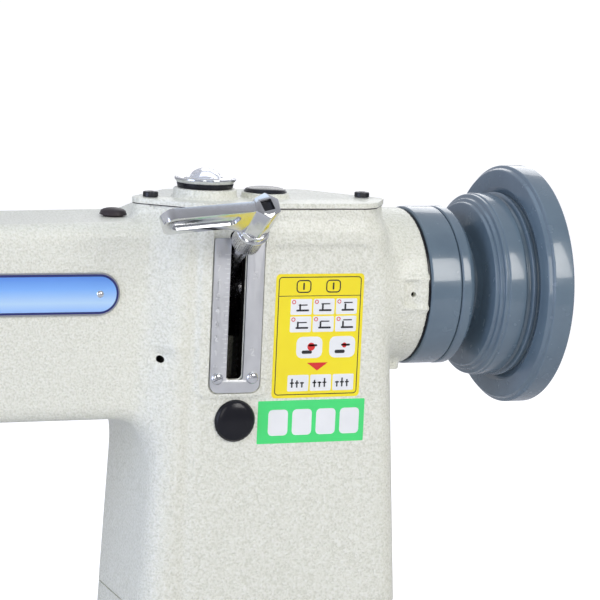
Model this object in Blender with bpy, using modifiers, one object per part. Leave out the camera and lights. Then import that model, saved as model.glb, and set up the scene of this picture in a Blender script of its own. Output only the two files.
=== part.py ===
"""Cylinder-arm leather sewing machine with a compound feed, as separate named pieces.

The shaft axis runs along X at SHAFT_Z. X points to the handwheel, Y to the back, Z up.
The origin is on the underside of the base, under the pillar. Sizes are in millimetres
and are scaled to metres where each mesh is made. Each moving group of pieces is
parented to an empty on its joint's axis.
"""
import math

import bmesh
import bpy
from mathutils import Matrix, Vector

MM = 0.001
GAP = 0.3                      # clearance between touching pieces
MERGE = 0.00001                # weld distance of turned shapes, metres

# Driving dimensions, mm
BASE_TOP = 20.0
FOOT_TOP = 165.0               # joint between the bed casting and the arm casting
BED_Z = 105.0                  # axis of the cylinder arm and of the hook shaft
BED_R = 46.0
BED_TOP = 148.0                # flat on the cylinder arm, level with the needle plate
BED_END = -341.0
SHAFT_Z = 353.5                # axis of the main shaft
SHAFT_R = 7.5
BARREL_R = 48.0
BARREL_END = 103.5
FRONT_Y = -52.0                # front of the pillar
BACK_Y = 48.0                  # back of the pillar
ARM_FRONT = -41.0
ARM_BACK = 39.0
WALL = 6.0
HEAD_END = -352.0
HEAD_BOTTOM = 262.0
ARM_BOTTOM = 281.0
ARM_TOP = 398.0
SEAM_Z = 407.0                 # under the top cover
COVER_TOP = 410.0
COVER_Y = -20.0                # row of the cover's screws, oil sight and plug
NEEDLE_X = -300.0
FRAME_PIN_Z = 374.0            # pivot of the needle bar frame
FRAME_PIN_Y = 17.0
PRESSER_X = -330.0
WALK_Y = 17.0
CRANK_R = 21.0                 # half of the needle bar's stroke
ROCK_Z = 78.0                  # feed rock shaft
LEVER_X = -21.6                # stitch lever
LEVER_TILT = math.radians(38.0)
LEVER_OFFSET = 10.8            # lever axis from the shaft axis
CABLE_X = -54.0
CABLE_Y = 60.0

for old in list(bpy.data.objects):
    bpy.data.objects.remove(old, do_unlink=True)

machine = bpy.data.collections.new("leather_sewing_machine")
cutters = bpy.data.collections.new("cutters")
pivots = bpy.data.collections.new("joint_pivots")
for group in (machine, cutters, pivots):
    bpy.context.scene.collection.children.link(group)


def finish_material(name, colour, roughness, metallic):
    mat = bpy.data.materials.new(name)
    mat.use_nodes = True
    shader = mat.node_tree.nodes["Principled BSDF"]
    shader.inputs["Base Color"].default_value = (*colour, 1.0)
    shader.inputs["Roughness"].default_value = roughness
    shader.inputs["Metallic"].default_value = metallic
    mat.diffuse_color = (*colour, 1.0)
    return mat


CREAM = finish_material("cream_paint", (0.74, 0.75, 0.69), 0.45, 0.0)
GREY_PAINT = finish_material("blue_grey_paint", (0.16, 0.22, 0.28), 0.25, 0.0)
STEEL = finish_material("bright_steel", (0.55, 0.55, 0.56), 0.3, 1.0)
PLATE_STEEL = finish_material("satin_plate", (0.48, 0.49, 0.52), 0.4, 0.9)
CHROME = finish_material("chrome", (0.8, 0.8, 0.82), 0.08, 1.0)
BLACK_STEEL = finish_material("black_oxide", (0.03, 0.03, 0.035), 0.35, 0.6)
RUBBER = finish_material("black_rubber", (0.02, 0.02, 0.023), 0.5, 0.0)
BRONZE = finish_material("bronze_bush", (0.45, 0.28, 0.12), 0.4, 1.0)
GLASS = finish_material("oil_glass", (0.75, 0.8, 0.85), 0.05, 0.0)
BLUE = finish_material("blue_enamel", (0.08, 0.25, 0.75), 0.3, 0.2)


# ---------------------------------------------------------------- shape helpers

def place(obj, name, mat, pivot=None):
    """Names a finished piece, gives it its finish and hangs it on its joint's empty."""
    obj.name = name
    if obj.data.users == 1:
        obj.data.name = name
    obj.data.materials.clear()
    obj.data.materials.append(mat)
    if obj.name not in machine.objects:
        machine.objects.link(obj)
    if pivot is not None:
        obj.parent = pivot
        obj.matrix_parent_inverse = Matrix.Translation(-pivot.location)
    return obj


def pivot_at(name, x, y, z, parent=None):
    """An empty on a joint's axis, in millimetres."""
    empty = bpy.data.objects.new(name, None)
    empty.empty_display_size = 0.02
    pivots.objects.link(empty)
    where = Vector((x, y, z)) * MM
    empty.location = where
    if parent is not None:
        empty.parent = parent
        empty.matrix_parent_inverse = Matrix.Translation(-parent.location)
    return empty


def rounded(corners, segments=3):
    """An outline from (u, v, radius) corners; a radius of 0 keeps the corner sharp."""
    points = []
    count = len(corners)
    for i, (u, v, radius) in enumerate(corners):
        here = Vector((u, v))
        if radius <= 0:
            points.append((u, v))
            continue
        before = Vector(corners[i - 1][:2]) - here
        after = Vector(corners[(i + 1) % count][:2]) - here
        before.normalize()
        after.normalize()
        half = before.angle(after) / 2
        centre = here + (before + after).normalized() * (radius / math.sin(half))
        start = here + before * (radius / math.tan(half)) - centre
        end = here + after * (radius / math.tan(half)) - centre
        sweep = math.atan2(start.x * end.y - start.y * end.x, start.dot(end))
        for step in range(segments + 1):
            turn = sweep * step / segments
            cos, sin = math.cos(turn), math.sin(turn)
            points.append((centre.x + start.x * cos - start.y * sin,
                           centre.y + start.x * sin + start.y * cos))
    return points


def box_outline(u0, u1, v0, v1, radius=0.0):
    return [(u0, v0, radius), (u1, v0, radius), (u1, v1, radius), (u0, v1, radius)]


def box_pts(u0, u1, v0, v1):
    return [(u0, v0), (u1, v0), (u1, v1), (u0, v1)]


def circle(u, v, radius, count=14):
    return [(u + radius * math.cos(2 * math.pi * k / count),
             v + radius * math.sin(2 * math.pi * k / count)) for k in range(count)]


PLANES = {"XY": Matrix.Identity(4),
          "XZ": Matrix.Rotation(math.pi / 2, 4, "X"),
          "YZ": Matrix.Rotation(math.pi / 2, 4, "Z") @ Matrix.Rotation(math.pi / 2, 4, "X")}


def prism(outline, low, high, plane, holes=()):
    """A flat outline with holes, extruded from low to high along the plane's normal."""
    curve = bpy.data.curves.new("outline", "CURVE")
    curve.dimensions = "2D"
    curve.fill_mode = "BOTH"
    curve.extrude = (high - low) / 2 * MM
    for loop in (outline, *holes):
        spline = curve.splines.new("POLY")
        spline.points.add(len(loop) - 1)
        for point, (u, v) in zip(spline.points, loop):
            point.co = (u * MM, v * MM, 0.0, 1.0)
        spline.use_cyclic_u = True
    middle = (low + high) / 2 * MM
    shift = Vector((0.0, 0.0, -middle if plane == "XZ" else middle))
    obj = bpy.data.objects.new("outline", curve)
    obj.matrix_world = PLANES[plane] @ Matrix.Translation(shift)
    return as_mesh(obj)


def as_mesh(curve_obj):
    """A curve object's welded mesh in a new object at the same place."""
    bpy.context.scene.collection.objects.link(curve_obj)
    bpy.context.view_layer.update()
    graph = bpy.context.evaluated_depsgraph_get()
    mesh = bpy.data.meshes.new_from_object(curve_obj.evaluated_get(graph))
    work = bmesh.new()
    work.from_mesh(mesh)
    bmesh.ops.remove_doubles(work, verts=work.verts, dist=MERGE)
    bmesh.ops.recalc_face_normals(work, faces=work.faces)
    work.to_mesh(mesh)
    work.free()
    obj = bpy.data.objects.new("solid", mesh)
    obj.matrix_world = curve_obj.matrix_world
    bpy.data.objects.remove(curve_obj, do_unlink=True)
    return obj


def turned(profile, at, axis=(0, 0, 1), steps=20):
    """A turned solid. The (radius, height) profile runs down its outer side along axis."""
    mesh = bpy.data.meshes.new("profile")
    points = [(r * MM, 0.0, h * MM) for r, h in profile]
    edges = [(i, i + 1) for i in range(len(points) - 1)]
    if profile[0][0] > 0:
        edges.append((len(points) - 1, 0))
    mesh.from_pydata(points, edges, [])
    obj = bpy.data.objects.new("turned", mesh)
    obj.location = Vector(at) * MM
    obj.rotation_mode = "QUATERNION"
    obj.rotation_quaternion = Vector((0, 0, 1)).rotation_difference(Vector(axis))
    screw = obj.modifiers.new("turn", "SCREW")
    screw.axis = "Z"
    screw.steps = steps
    screw.render_steps = steps
    screw.use_merge_vertices = True
    screw.merge_threshold = MERGE
    screw.use_smooth_shade = False
    return obj


def rod(start, end, radius, chamfer=0.5, steps=None):
    """A plain round bar between two points."""
    if steps is None:
        steps = 14 if radius < 7 else 20
    start = Vector(start)
    run = Vector(end) - start
    length = run.length
    profile = [(0, length), (radius - chamfer, length), (radius, length - chamfer),
               (radius, chamfer), (radius - chamfer, 0), (0, 0)]
    return turned(profile, start, run, steps)


def tube(start, end, outer, inner, steps=20):
    """A round bush or ring between two points."""
    start = Vector(start)
    run = Vector(end) - start
    length = run.length
    profile = [(inner, length), (outer, length), (outer, 0), (inner, 0)]
    return turned(profile, start, run, steps)


def wire(points, radius, sides=2):
    """A round wire along points, with filled ends."""
    curve = bpy.data.curves.new("wire", "CURVE")
    curve.dimensions = "3D"
    curve.bevel_depth = radius * MM
    curve.bevel_resolution = sides
    curve.use_fill_caps = True
    spline = curve.splines.new("POLY")
    spline.points.add(len(points) - 1)
    for point, co in zip(spline.points, points):
        point.co = (co[0] * MM, co[1] * MM, co[2] * MM, 1.0)
    return bpy.data.objects.new("wire", curve)


def helix(centre, radius, low, high, turns, per_turn=12):
    """Points of an upright coil from low to high."""
    points = []
    count = int(turns * per_turn)
    for k in range(count + 1):
        angle = 2 * math.pi * turns * k / count
        points.append((centre[0] + radius * math.cos(angle), centre[1] + radius * math.sin(angle),
                       low + (high - low) * k / count))
    return points


def smooth_route(points, spacing):
    """Points at an even spacing on a smooth Catmull-Rom curve through the given points."""
    ends = [points[0], *points, points[-1]]
    fine = []
    for i in range(1, len(ends) - 2):
        a, b, c, d = (Vector(ends[i + k]) for k in (-1, 0, 1, 2))
        for step in range(40):
            t = step / 40
            fine.append(0.5 * (2 * b + (c - a) * t + (2 * a - 5 * b + 4 * c - d) * t * t
                               + (3 * b - a - 3 * c + d) * t ** 3))
    fine.append(Vector(points[-1]))
    route = [fine[0]]
    for point in fine[1:-1]:
        if (point - route[-1]).length >= spacing:
            route.append(point)
    route.append(fine[-1])
    return route


def soften(obj, width, segments=2, angle=25.0):
    """Rounds the edges sharper than the angle, in degrees."""
    bevel = obj.modifiers.new("rounded_edges", "BEVEL")
    bevel.width = width * MM
    bevel.segments = segments
    bevel.limit_method = "ANGLE"
    bevel.angle_limit = math.radians(angle)
    return obj


def combine(target, operation, *tools):
    """Booleans each tool with the target; the tools go to the cutters' collection."""
    for number, tool in enumerate(tools):
        cutters.objects.link(tool)
        tool.name = f"{operation.lower()}_{len(cutters.objects)}"
        tool.hide_render = True
        tool.display_type = "WIRE"
        boolean = target.modifiers.new(f"{operation.lower()}_{number}", "BOOLEAN")
        boolean.operation = operation
        boolean.object = tool
    return target


def cut(target, *tools):
    return combine(target, "DIFFERENCE", *tools)


def join(target, *tools):
    return combine(target, "UNION", *tools)


# ---------------------------------------------------------------- castings

COVER_OUTLINE = [(-80, -20, 9), (-46, -52, 18), (64, -52, 16), (81.5, -24, 8), (46, 25, 12), (-42, 25, 12)]


def grown(corners, amount):
    """The same corners moved outward from their middle by about an amount."""
    centre = Vector((4.0, -14.0))
    out = []
    for u, v, radius in corners:
        away = (Vector((u, v)) - centre).normalized() * amount
        out.append((u + away.x, v + away.y, max(radius + amount, 1.0)))
    return out


def make_arm_casting():
    """The upper casting: pillar, arm and head, hollow, with the shaft's barrel."""
    pillar = soften(prism([(-73, 140), (-62, 400), (76, 400), (94.5, 140)], FRONT_Y, BACK_Y, "XZ"), 11, 3)
    arm = soften(prism(rounded([(-30, ARM_TOP, 0), (HEAD_END, 392, 0), (HEAD_END, HEAD_BOTTOM, 0),
                                (-250, HEAD_BOTTOM, 0), (-234, ARM_BOTTOM, 0), (-68, 280.5, 24),
                                (-67, 225, 0), (-30, 225, 0)]), ARM_FRONT, ARM_BACK, "XZ"), 9, 2)
    barrel = rod((40, 0, SHAFT_Z), (BARREL_END, 0, SHAFT_Z), BARREL_R, 1.0, 36)
    boss = prism(rounded(grown(COVER_OUTLINE, -0.8)), 385, SEAM_Z - GAP, "XY")
    cavities = [
        prism(box_pts(-200, 200, 100, FOOT_TOP + GAP), -80, 80, "XZ"),
        prism(rounded([(-62, 150, 0), (-55, 391, 6), (69, 391, 6), (85, 150, 0)]),
              FRONT_Y + WALL, BACK_Y - WALL, "XZ"),
        prism(rounded([(-66, 390, 6), (-249, 388, 6), (-249, 289, 6), (-66, 289, 6)]),
              ARM_FRONT + WALL, ARM_BACK - WALL, "XZ"),
        prism(rounded([(-262, 385, 4), (-360, 385, 0), (-360, 268.5, 0), (-262, 268.5, 4)]),
              ARM_FRONT + WALL, ARM_BACK - WALL, "XZ"),
        prism(rounded(box_outline(-52, 58, -38, 14, 8)), 380, 420, "XY"),
        rod((60, 0, SHAFT_Z), (86, 0, SHAFT_Z), 38, 0.5, 32),
        rod((80, 0, SHAFT_Z), (120, 0, SHAFT_Z), 14 + GAP),
        rod((-270, 0, SHAFT_Z), (-240, 0, SHAFT_Z), 13 + GAP),
        rod((-75, 0, SHAFT_Z), (-45, 0, SHAFT_Z), 12 + GAP),
        prism(rounded(box_outline(-27, -16.5, 307.5, 394, 5)), -60, -40, "XZ"),
        prism(rounded([(-37.8, 298.2, 5), (-5.2, 298.2, 5), (-5.2, 391, 4), (-37.8, 391, 4)]),
              -60, -48.7, "XZ"),
        prism(rounded(box_outline(-315, -289, -14, 28, 3)), 250, 280, "XY"),
        rod((PRESSER_X, 0, 250), (PRESSER_X, 0, 280), 4.5 + GAP),
        rod((PRESSER_X, 0, 380), (PRESSER_X, 0, 410), 8 + GAP),
        prism(rounded(box_outline(-323, -314, 303, 372, 3)), -50, -30, "XZ"),
        prism(rounded(box_outline(-34, 54, 192, 316, 8)), 40, 60, "XZ"),
        rod((-20, -60, 282), (-20, -40, 282), 8 + GAP),
        rod((-83.7, -5, 380), (-83.7, -5, 410), 5 + GAP),
        rod((-272, -50, 352), (-272, -30, 352), 3 + GAP),
        rod((-110, 25, 303), (-110, 45, 303), 4 + GAP),
        rod((-318, 25, 300), (-318, 45, 300), 4 + GAP),
    ]
    join(pillar, arm, barrel, boss)
    cut(pillar, *cavities)
    place(pillar, "arm_casting", CREAM)


def make_bed_casting():
    """The lower casting: base plate, pillar foot and the hollow cylinder arm."""
    base = soften(prism(rounded(box_outline(-190, 112, -88, 88, 22)), 0, BASE_TOP, "XY"), 3, 2)
    foot = soften(prism([(-79, -10), (-71, 185), (91.3, 185), (99, -10)], FRONT_Y, BACK_Y, "XZ"), 11, 3)
    arm = rod((BED_END, 0, BED_Z), (-50, 0, BED_Z), BED_R, 1.0, 32)
    cuts = [
        prism(box_pts(-400, -78, -60, 60), BED_TOP, 170, "XY"),
        prism(box_pts(-200, 200, -100, 100), FOOT_TOP, 220, "XY"),
        prism(box_pts(-200, 200, -100, 100), -60, 0, "XY"),
        prism(rounded([(-64, 26, 6), (-62, 180, 0), (85, 180, 0), (88, 26, 6)]),
              FRONT_Y + WALL, BACK_Y - WALL, "XZ"),
        rod((-280, 0, BED_Z), (-360, 0, BED_Z), 36, 0.5, 32),
        rod((-262, 0, BED_Z), (-71, 0, BED_Z), 36, 0.5, 32),
        rod((-290, 0, BED_Z), (-250, 0, BED_Z), 10 + GAP),
        rod((-80, 0, BED_Z), (-50, 0, BED_Z), 7),
        rod((-290, 0, ROCK_Z), (-50, 0, ROCK_Z), 4 + GAP, 0.4),
        rod((80, 0, BED_Z), (120, 0, BED_Z), 6 + GAP),
        prism(rounded(box_outline(-324 - GAP, -278 + GAP, -16, 16, 2)), 144.7, 160, "XY"),
        prism(rounded(box_outline(-309, -291, -13, 13, 3)), 130, 160, "XY"),
    ]
    for x, y in ((-168, -66), (-168, 66), (90, -72), (90, 72)):
        cuts.append(rod((x, y, -5), (x, y, 30), 5.5))
    join(base, foot, arm)
    cut(base, *cuts)
    place(base, "bed_casting", CREAM)


make_arm_casting()
make_bed_casting()


# ---------------------------------------------------------------- top cover and its fittings

def make_cover():
    plate = prism(rounded(COVER_OUTLINE), SEAM_Z, COVER_TOP, "XY")
    sight_boss = rod((-32.5, COVER_Y, SEAM_Z + 1), (-32.5, COVER_Y, 415.6), 18.6, 0.8, 24)
    plug_boss = rod((5.5, COVER_Y, SEAM_Z + 1), (5.5, COVER_Y, 413.2), 14, 0.5, 20)
    sight_hole = rod((-32.5, COVER_Y, 400), (-32.5, COVER_Y, 425), 9)
    plug_hole = rod((5.5, COVER_Y, 400), (5.5, COVER_Y, 425), 7)
    place(cut(join(plate, sight_boss, plug_boss), sight_hole, plug_hole), "top_cover", CREAM)
    gasket = tube((-32.5, COVER_Y, 415.9), (-32.5, COVER_Y, 418.5), 16.4, 10)
    place(gasket, "oil_sight_gasket", RUBBER)
    ring = turned([(10, 422.6), (17.4, 422.6), (18.2, 421.8), (16.6, 418.8), (10, 418.8)],
                  (-32.5, COVER_Y, 0), steps=28)
    place(ring, "oil_sight_ring", CHROME)
    dome = turned([(0, 427.4), (4.5, 426.7), (8, 424.8), (9.6, 422.4), (9.7, 418.8), (7.4, 418.8),
                   (7.4, 422), (4, 424.6), (0, 425.4)], (-32.5, COVER_Y, 0), steps=20)
    place(dome, "oil_sight_glass", GLASS)
    plug = turned([(0, 416.4), (7, 416.1), (11.5, 415.0), (12.8, 413.9), (12.6, 413.5), (6.7, 413.5),
                   (6.7, 408), (0, 408)], (5.5, COVER_Y, 0), steps=24)
    place(plug, "cover_plug", RUBBER)


def dome_plug(name, at, axis, radius, height, stem):
    profile = [(0, height), (radius * 0.5, height * 0.88), (radius * 0.85, height * 0.5),
               (radius, height * 0.12), (radius, 0), (stem, 0), (stem, -6), (0, -6)]
    place(turned(profile, at, axis, 24), name, RUBBER)


make_cover()
dome_plug("arm_top_plug", (-83.7, -5, 398.4), (0, 0, 1), 8, 3.8, 5)
dome_plug("front_plug", (-20, FRONT_Y - GAP, 282), (0, -1, 0), 12.5, 4.2, 8)

# Stitch length plate: a U of steel seated in the pillar's front
plate_outline = rounded([(-37, 299, 5), (-6, 299, 5), (-6, 390, 2), (-16.5, 390, 1), (-16.5, 307.5, 4.5),
                         (-27, 307.5, 4.5), (-27, 390, 1), (-37, 390, 2)], 3)
place(prism(plate_outline, -54.2, -49.0, "XZ"), "stitch_plate", PLATE_STEEL)

# Name badge: blank enamel plate on the arm
badge = prism(rounded(box_outline(-240, -89.5, 344, 369, 12.4), 6), ARM_FRONT - 1.8, ARM_FRONT - GAP, "XZ")
place(badge, "badge_plate", BLUE)


# ---------------------------------------------------------------- main shaft

spin = pivot_at("main_shaft_axis", 0, 0, SHAFT_Z)


def on_shaft(x, radius=0.0):
    return (x, 0, SHAFT_Z + radius)


place(rod(on_shaft(-283), on_shaft(185.5), SHAFT_R, 0.8, 24), "main_shaft", STEEL, spin)
place(tube(on_shaft(86), on_shaft(103.2), 14, SHAFT_R + GAP), "rear_bush", BRONZE)
place(tube(on_shaft(-67), on_shaft(-6), 12, SHAFT_R + GAP), "regulator_sleeve", BRONZE)
place(turned([(SHAFT_R + GAP, 18), (13, 18), (13, 2), (16, 2), (16, -1), (SHAFT_R + GAP, -1)],
             on_shaft(-265), (1, 0, 0)), "front_bush", BRONZE)

place(turned([(8, 20.2), (45, 20.2), (47.6, 19.2), (48.8, 17.5), (48.8, 1.2), (48.0, 0), (30, 0), (30, 16),
              (8, 16)], on_shaft(105), (1, 0, 0), 32), "bearing_housing", GREY_PAINT)
place(turned([(20, 11.5), (44, 11.5), (47.4, 10.4), (49, 8), (49, 0.8), (48.2, 0), (20, 0)],
             on_shaft(125.5), (1, 0, 0), 32), "housing_cap", GREY_PAINT)

WHEEL_PROFILE = [(7.8, 186), (20, 186), (22, 184.5), (24, 180.5), (60, 180), (64, 183), (66, 187.2),
                 (70, 188.4), (73, 187.4), (74.5, 184.5), (74.5, 179), (73.2, 175), (69.5, 172.6),
                 (60, 172.2), (53.5, 173.4), (54, 171.2), (57.4, 170.4), (57.6, 168.6), (54.2, 167.8),
                 (54.2, 166), (57, 165.2), (57, 152), (55, 148.4), (51, 146.6), (33, 145.6), (30, 144.6),
                 (30, 137.8), (7.8, 137.8)]
place(turned(WHEEL_PROFILE, on_shaft(0), (1, 0, 0), 36), "handwheel", GREY_PAINT, spin)
place(turned([(0, 4.6), (9, 4.6), (10, 3.8), (10, 0), (0, 0)], on_shaft(186.4), (1, 0, 0), 6),
      "handwheel_nut", STEEL, spin)

# Crank, its connecting rod and the upper belt pulley
disc = turned([(SHAFT_R + GAP, 8), (27, 8), (27, 0), (SHAFT_R + GAP, 0)], on_shaft(-283.5), (1, 0, 0), 32)
pin = rod(on_shaft(-291.2, CRANK_R), on_shaft(-280, CRANK_R), 4, 0.4, 16)
place(join(disc, pin), "needle_crank", STEEL, spin)
place(tube(on_shaft(20), on_shaft(36), 30, SHAFT_R + GAP, 28), "upper_belt_pulley", STEEL, spin)
eccentric = prism(circle(0, SHAFT_Z + 2, 12, 24), -2, 12, "YZ", [circle(0, SHAFT_Z, SHAFT_R + GAP, 20)])
place(eccentric, "feed_eccentric", STEEL, spin)

crank_pin = pivot_at("connecting_rod_axis", -288, 0, SHAFT_Z + CRANK_R, spin)
rod_plate = prism(rounded([(-7, 312, 6.5), (7, 312, 6.5), (7, SHAFT_Z + CRANK_R + 8, 6.5),
                           (-7, SHAFT_Z + CRANK_R + 8, 6.5)]), -291.0, -284.2, "YZ",
                  [circle(0, SHAFT_Z + CRANK_R, 4 + GAP, 16), circle(0, 319.5, 3, 16)])
place(rod_plate, "connecting_rod", STEEL, crank_pin)


# ---------------------------------------------------------------- needle bar frame and feet

frame_axis = pivot_at("needle_frame_axis", NEEDLE_X, FRAME_PIN_Y, FRAME_PIN_Z)
needle_axis = pivot_at("needle_bar_axis", NEEDLE_X, 0, 300, frame_axis)
walk_axis = pivot_at("walking_foot_axis", NEEDLE_X, WALK_Y, 300, frame_axis)
presser_axis = pivot_at("presser_bar_axis", PRESSER_X, 0, 300)

place(rod((-351.6, FRAME_PIN_Y, FRAME_PIN_Z), (-305.5, FRAME_PIN_Y, FRAME_PIN_Z), 4, 0.4, 16),
      "needle_frame_pin", STEEL)
frame_plate = prism(rounded([(-8, 256, 3), (25, 256, 3), (25, 348, 6), (25, 381, 6.5), (9, 381, 6.5),
                             (-8, 348, 6)]), -312, -306, "YZ",
                    [circle(FRAME_PIN_Y, FRAME_PIN_Z, 4 + GAP, 16)])
bosses = [prism(rounded(box_outline(-307, -293.5, -8, 23.5, 4)), low, high, "XY",
                [circle(NEEDLE_X, 0, 4 + GAP, 16), circle(NEEDLE_X, WALK_Y, 3.5 + GAP, 16)])
          for low, high in ((256.5, 269.5), (334, 346))]
place(join(frame_plate, *bosses), "needle_bar_frame", STEEL, frame_axis)

bar = rod((NEEDLE_X, 0, 205), (NEEDLE_X, 0, 383), 4, 0.6, 20)
stud = rod((NEEDLE_X, 0, 319.5), (-292.4, 0, 319.5), 5, 0.5, 16)
place(join(bar, stud), "needle_bar", STEEL, needle_axis)
place(turned([(0, 44), (1.0, 43.5), (1.0, 6), (0.75, 4), (0, 0)], (NEEDLE_X, 0, 161), steps=10),
      "needle", STEEL, needle_axis)

walk_bar = rod((NEEDLE_X, WALK_Y, 215), (NEEDLE_X, WALK_Y, 372), 3.5, 0.5, 16)
walk_sole = prism(rounded([(-11, 150.3, 1), (-7, 149.0, 0), (13, 149.0, 0), (13, 205, 0), (22, 211, 2),
                           (22, 224.4, 2), (9, 224.4, 2), (8.5, 153.5, 1), (-11, 152.1, 0)]),
                  -305, -295, "YZ")
walk_hole = rod((NEEDLE_X, 0, 140), (NEEDLE_X, 0, 160), 2.0, 0.3, 12)
place(cut(join(walk_sole, walk_bar), walk_hole), "walking_foot", STEEL, walk_axis)

presser_bar = rod((PRESSER_X, 0, 226), (PRESSER_X, 0, 384), 4.5, 0.6, 20)
collar = rod((PRESSER_X, 0, 318), (PRESSER_X, 0, 324), 7.6, 0.6, 20)
place(join(presser_bar, collar), "presser_bar", STEEL, presser_axis)
foot_side = prism(rounded([(-337, 206, 2), (-322.5, 206, 2), (-322.5, 150.3, 1), (-317, 148.5, 0),
                           (-282, 148.5, 1), (-282, 151.5, 1), (-316, 152.5, 2), (-316.5, 225.6, 2),
                           (-337, 225.6, 2)]), -22, 24, "XZ")
foot_slot = prism(rounded(box_outline(-307, -293, -17.5, 19.5, 2)), 140, 170, "XY")
foot_left = prism(box_pts(-360, -312, -30, -8), 153.5, 250, "XY")
foot_right = prism(box_pts(-360, -312, 8, 30), 153.5, 250, "XY")
place(cut(foot_side, foot_slot, foot_left, foot_right), "presser_foot", STEEL, presser_axis)
place(wire(helix((PRESSER_X, 0), 6.6, 325.3, 386.4, 6, 8), 0.8), "presser_spring", STEEL)
dial = pivot_at("presser_dial_axis", PRESSER_X, 0, 400)
place(turned([(0, 421), (7.5, 421), (9, 419.5), (9, 404), (8, 403), (8, 387.7), (5, 387.7), (5, 414),
              (0, 414)], (PRESSER_X, 0, 0), steps=24), "presser_adjusting_screw", BLACK_STEEL, dial)

# Take-up lever, swinging about a pin inside the head
take_up_axis = pivot_at("take_up_axis", -318.5, 20, 340.5)
take_up = prism(rounded([(26, 333, 6.4), (12, 334, 4), (-72, 364.5, 3), (-78, 371, 4), (-70, 375.5, 3),
                         (18, 349.5, 6), (28, 347, 6)]), -321, -316, "YZ",
                [circle(-71, 369.8, 1.4, 10)])
take_up_pin = rod((-325, 20, 340.5), (-313.6, 20, 340.5), 3.6, 0.3, 14)
place(join(take_up, take_up_pin), "take_up_lever", STEEL, take_up_axis)

# Thread tension on the front of the head
TENSION = (-272, 352)


def tension_piece(profile, y, name, mat, steps=24, pivot=None):
    place(turned(profile, (TENSION[0], y, TENSION[1]), (0, -1, 0), steps), name, mat, pivot)


tension_piece([(0, 36), (2.6, 36), (3, 35.5), (3, 0), (3, -8), (0, -8)], ARM_FRONT, "tension_post",
              STEEL, 16)
tension_piece([(3.3, 2.6), (10.5, 2.6), (13, 1.0), (13, 0.0), (10.5, 1.6), (3.3, 1.6)], ARM_FRONT - 6,
              "tension_disc_outer", CHROME)
nut_axis = pivot_at("tension_nut_axis", TENSION[0], -70, TENSION[1])
tension_piece([(3.3, 9), (6.5, 9), (8, 7.5), (8, 1.5), (7, 0), (3.3, 0)], ARM_FRONT - 25.2, "tension_nut",
              BLACK_STEEL, 20, nut_axis)

# Face plate over the open end of the head
face = soften(prism(rounded(box_outline(ARM_FRONT + 1, ARM_BACK - 1, 264, 390, 12)), HEAD_END - 4.5,
                    HEAD_END - GAP, "YZ"), 0.8, 1)
place(face, "face_plate", CREAM)

# Hand lifter and foot lift lever on the back
lifter_axis = pivot_at("hand_lifter_axis", -318, ARM_BACK, 300)
lifter_arm = prism(rounded([(-326, 292, 7), (-310, 292, 7), (-290, 244, 4), (-274, 238, 3), (-272, 245, 3),
                            (-285, 250, 5), (-306, 303, 8), (-326, 308, 7)]),
                   ARM_BACK + 5, ARM_BACK + 9, "XZ")
lifter_hub = turned([(0, 10), (7.5, 10), (8, 9.5), (8, 0.4), (4, 0.4), (4, -9), (0, -9)],
                    (-318, ARM_BACK, 300), (0, 1, 0), 20)
place(join(lifter_arm, lifter_hub), "hand_lifter", CHROME, lifter_axis)

foot_lift_axis = pivot_at("foot_lift_axis", -110, 50, 303)
lift_hub = turned([(0, 18), (7.5, 18), (8, 17.5), (8, 0.4), (4, 0.4), (4, -9), (0, -9)],
                  (-110, ARM_BACK, 303), (0, 1, 0), 20)
lift_arm = prism(rounded([(-119, 294, 8), (-106, 294, 7), (-62, 264, 0), (-46, 264, 7), (-46, 279, 7),
                          (-101, 312, 6), (-119, 312, 8)]), 51, 56, "XZ")
clevis_hole = rod((CABLE_X, 45, 272), (CABLE_X, 60, 272), 2 + GAP, 0.3, 12)
place(cut(join(lift_arm, lift_hub), clevis_hole), "foot_lift_lever", BLACK_STEEL, foot_lift_axis)

clevis_axis = pivot_at("cable_clevis_axis", CABLE_X, 57, 272, foot_lift_axis)
clevis = turned([(0, 7), (4.5, 7), (5, 6.5), (5, 0), (2, 0), (2, -5), (0, -5)], (CABLE_X, 56.3, 272),
                (0, 1, 0), 16)
place(clevis, "cable_clevis", STEEL, clevis_axis)
CABLE_ROUTE = [(-54.0, CABLE_Y, 266.6), (-53.4, CABLE_Y, 254.0), (-51.4, CABLE_Y, 230.0),
               (-48.6, CABLE_Y, 190.0), (-46.6, CABLE_Y, 150.0), (-45.6, CABLE_Y, 110.0),
               (-45.4, CABLE_Y, 88.3)]
place(wire(smooth_route(CABLE_ROUTE, 6.0), 1.5), "lift_cable", STEEL, clevis_axis)
sleeve = rod((-45.4, CABLE_Y, 76), (-45.4, CABLE_Y, 88), 3, 0.6, 16)
hook_points = [(-45.4, CABLE_Y, 78), (-45.4, CABLE_Y, 70)]
hook_points += [(-52.0 + 6.6 * math.cos(a), CABLE_Y, 62 + 8 * math.sin(a))
                for a in [math.radians(d) for d in range(30, -190, -20)]]
cable_hook = as_mesh(wire(hook_points, 1.6))
place(join(cable_hook, sleeve), "cable_hook", STEEL, clevis_axis)


# ---------------------------------------------------------------- stitch length lever

lever_axis = pivot_at("stitch_lever_axis", LEVER_X, 0, SHAFT_Z)
ALONG = Vector((0, -math.cos(LEVER_TILT), math.sin(LEVER_TILT)))
NORMAL = Vector((0, math.sin(LEVER_TILT), math.cos(LEVER_TILT)))
ROOT = Vector((LEVER_X, 0, SHAFT_Z)) - NORMAL * LEVER_OFFSET


def on_lever(distance):
    """A point on the lever rod's axis, measured from the foot of the shaft's normal."""
    return ROOT + ALONG * distance


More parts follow.
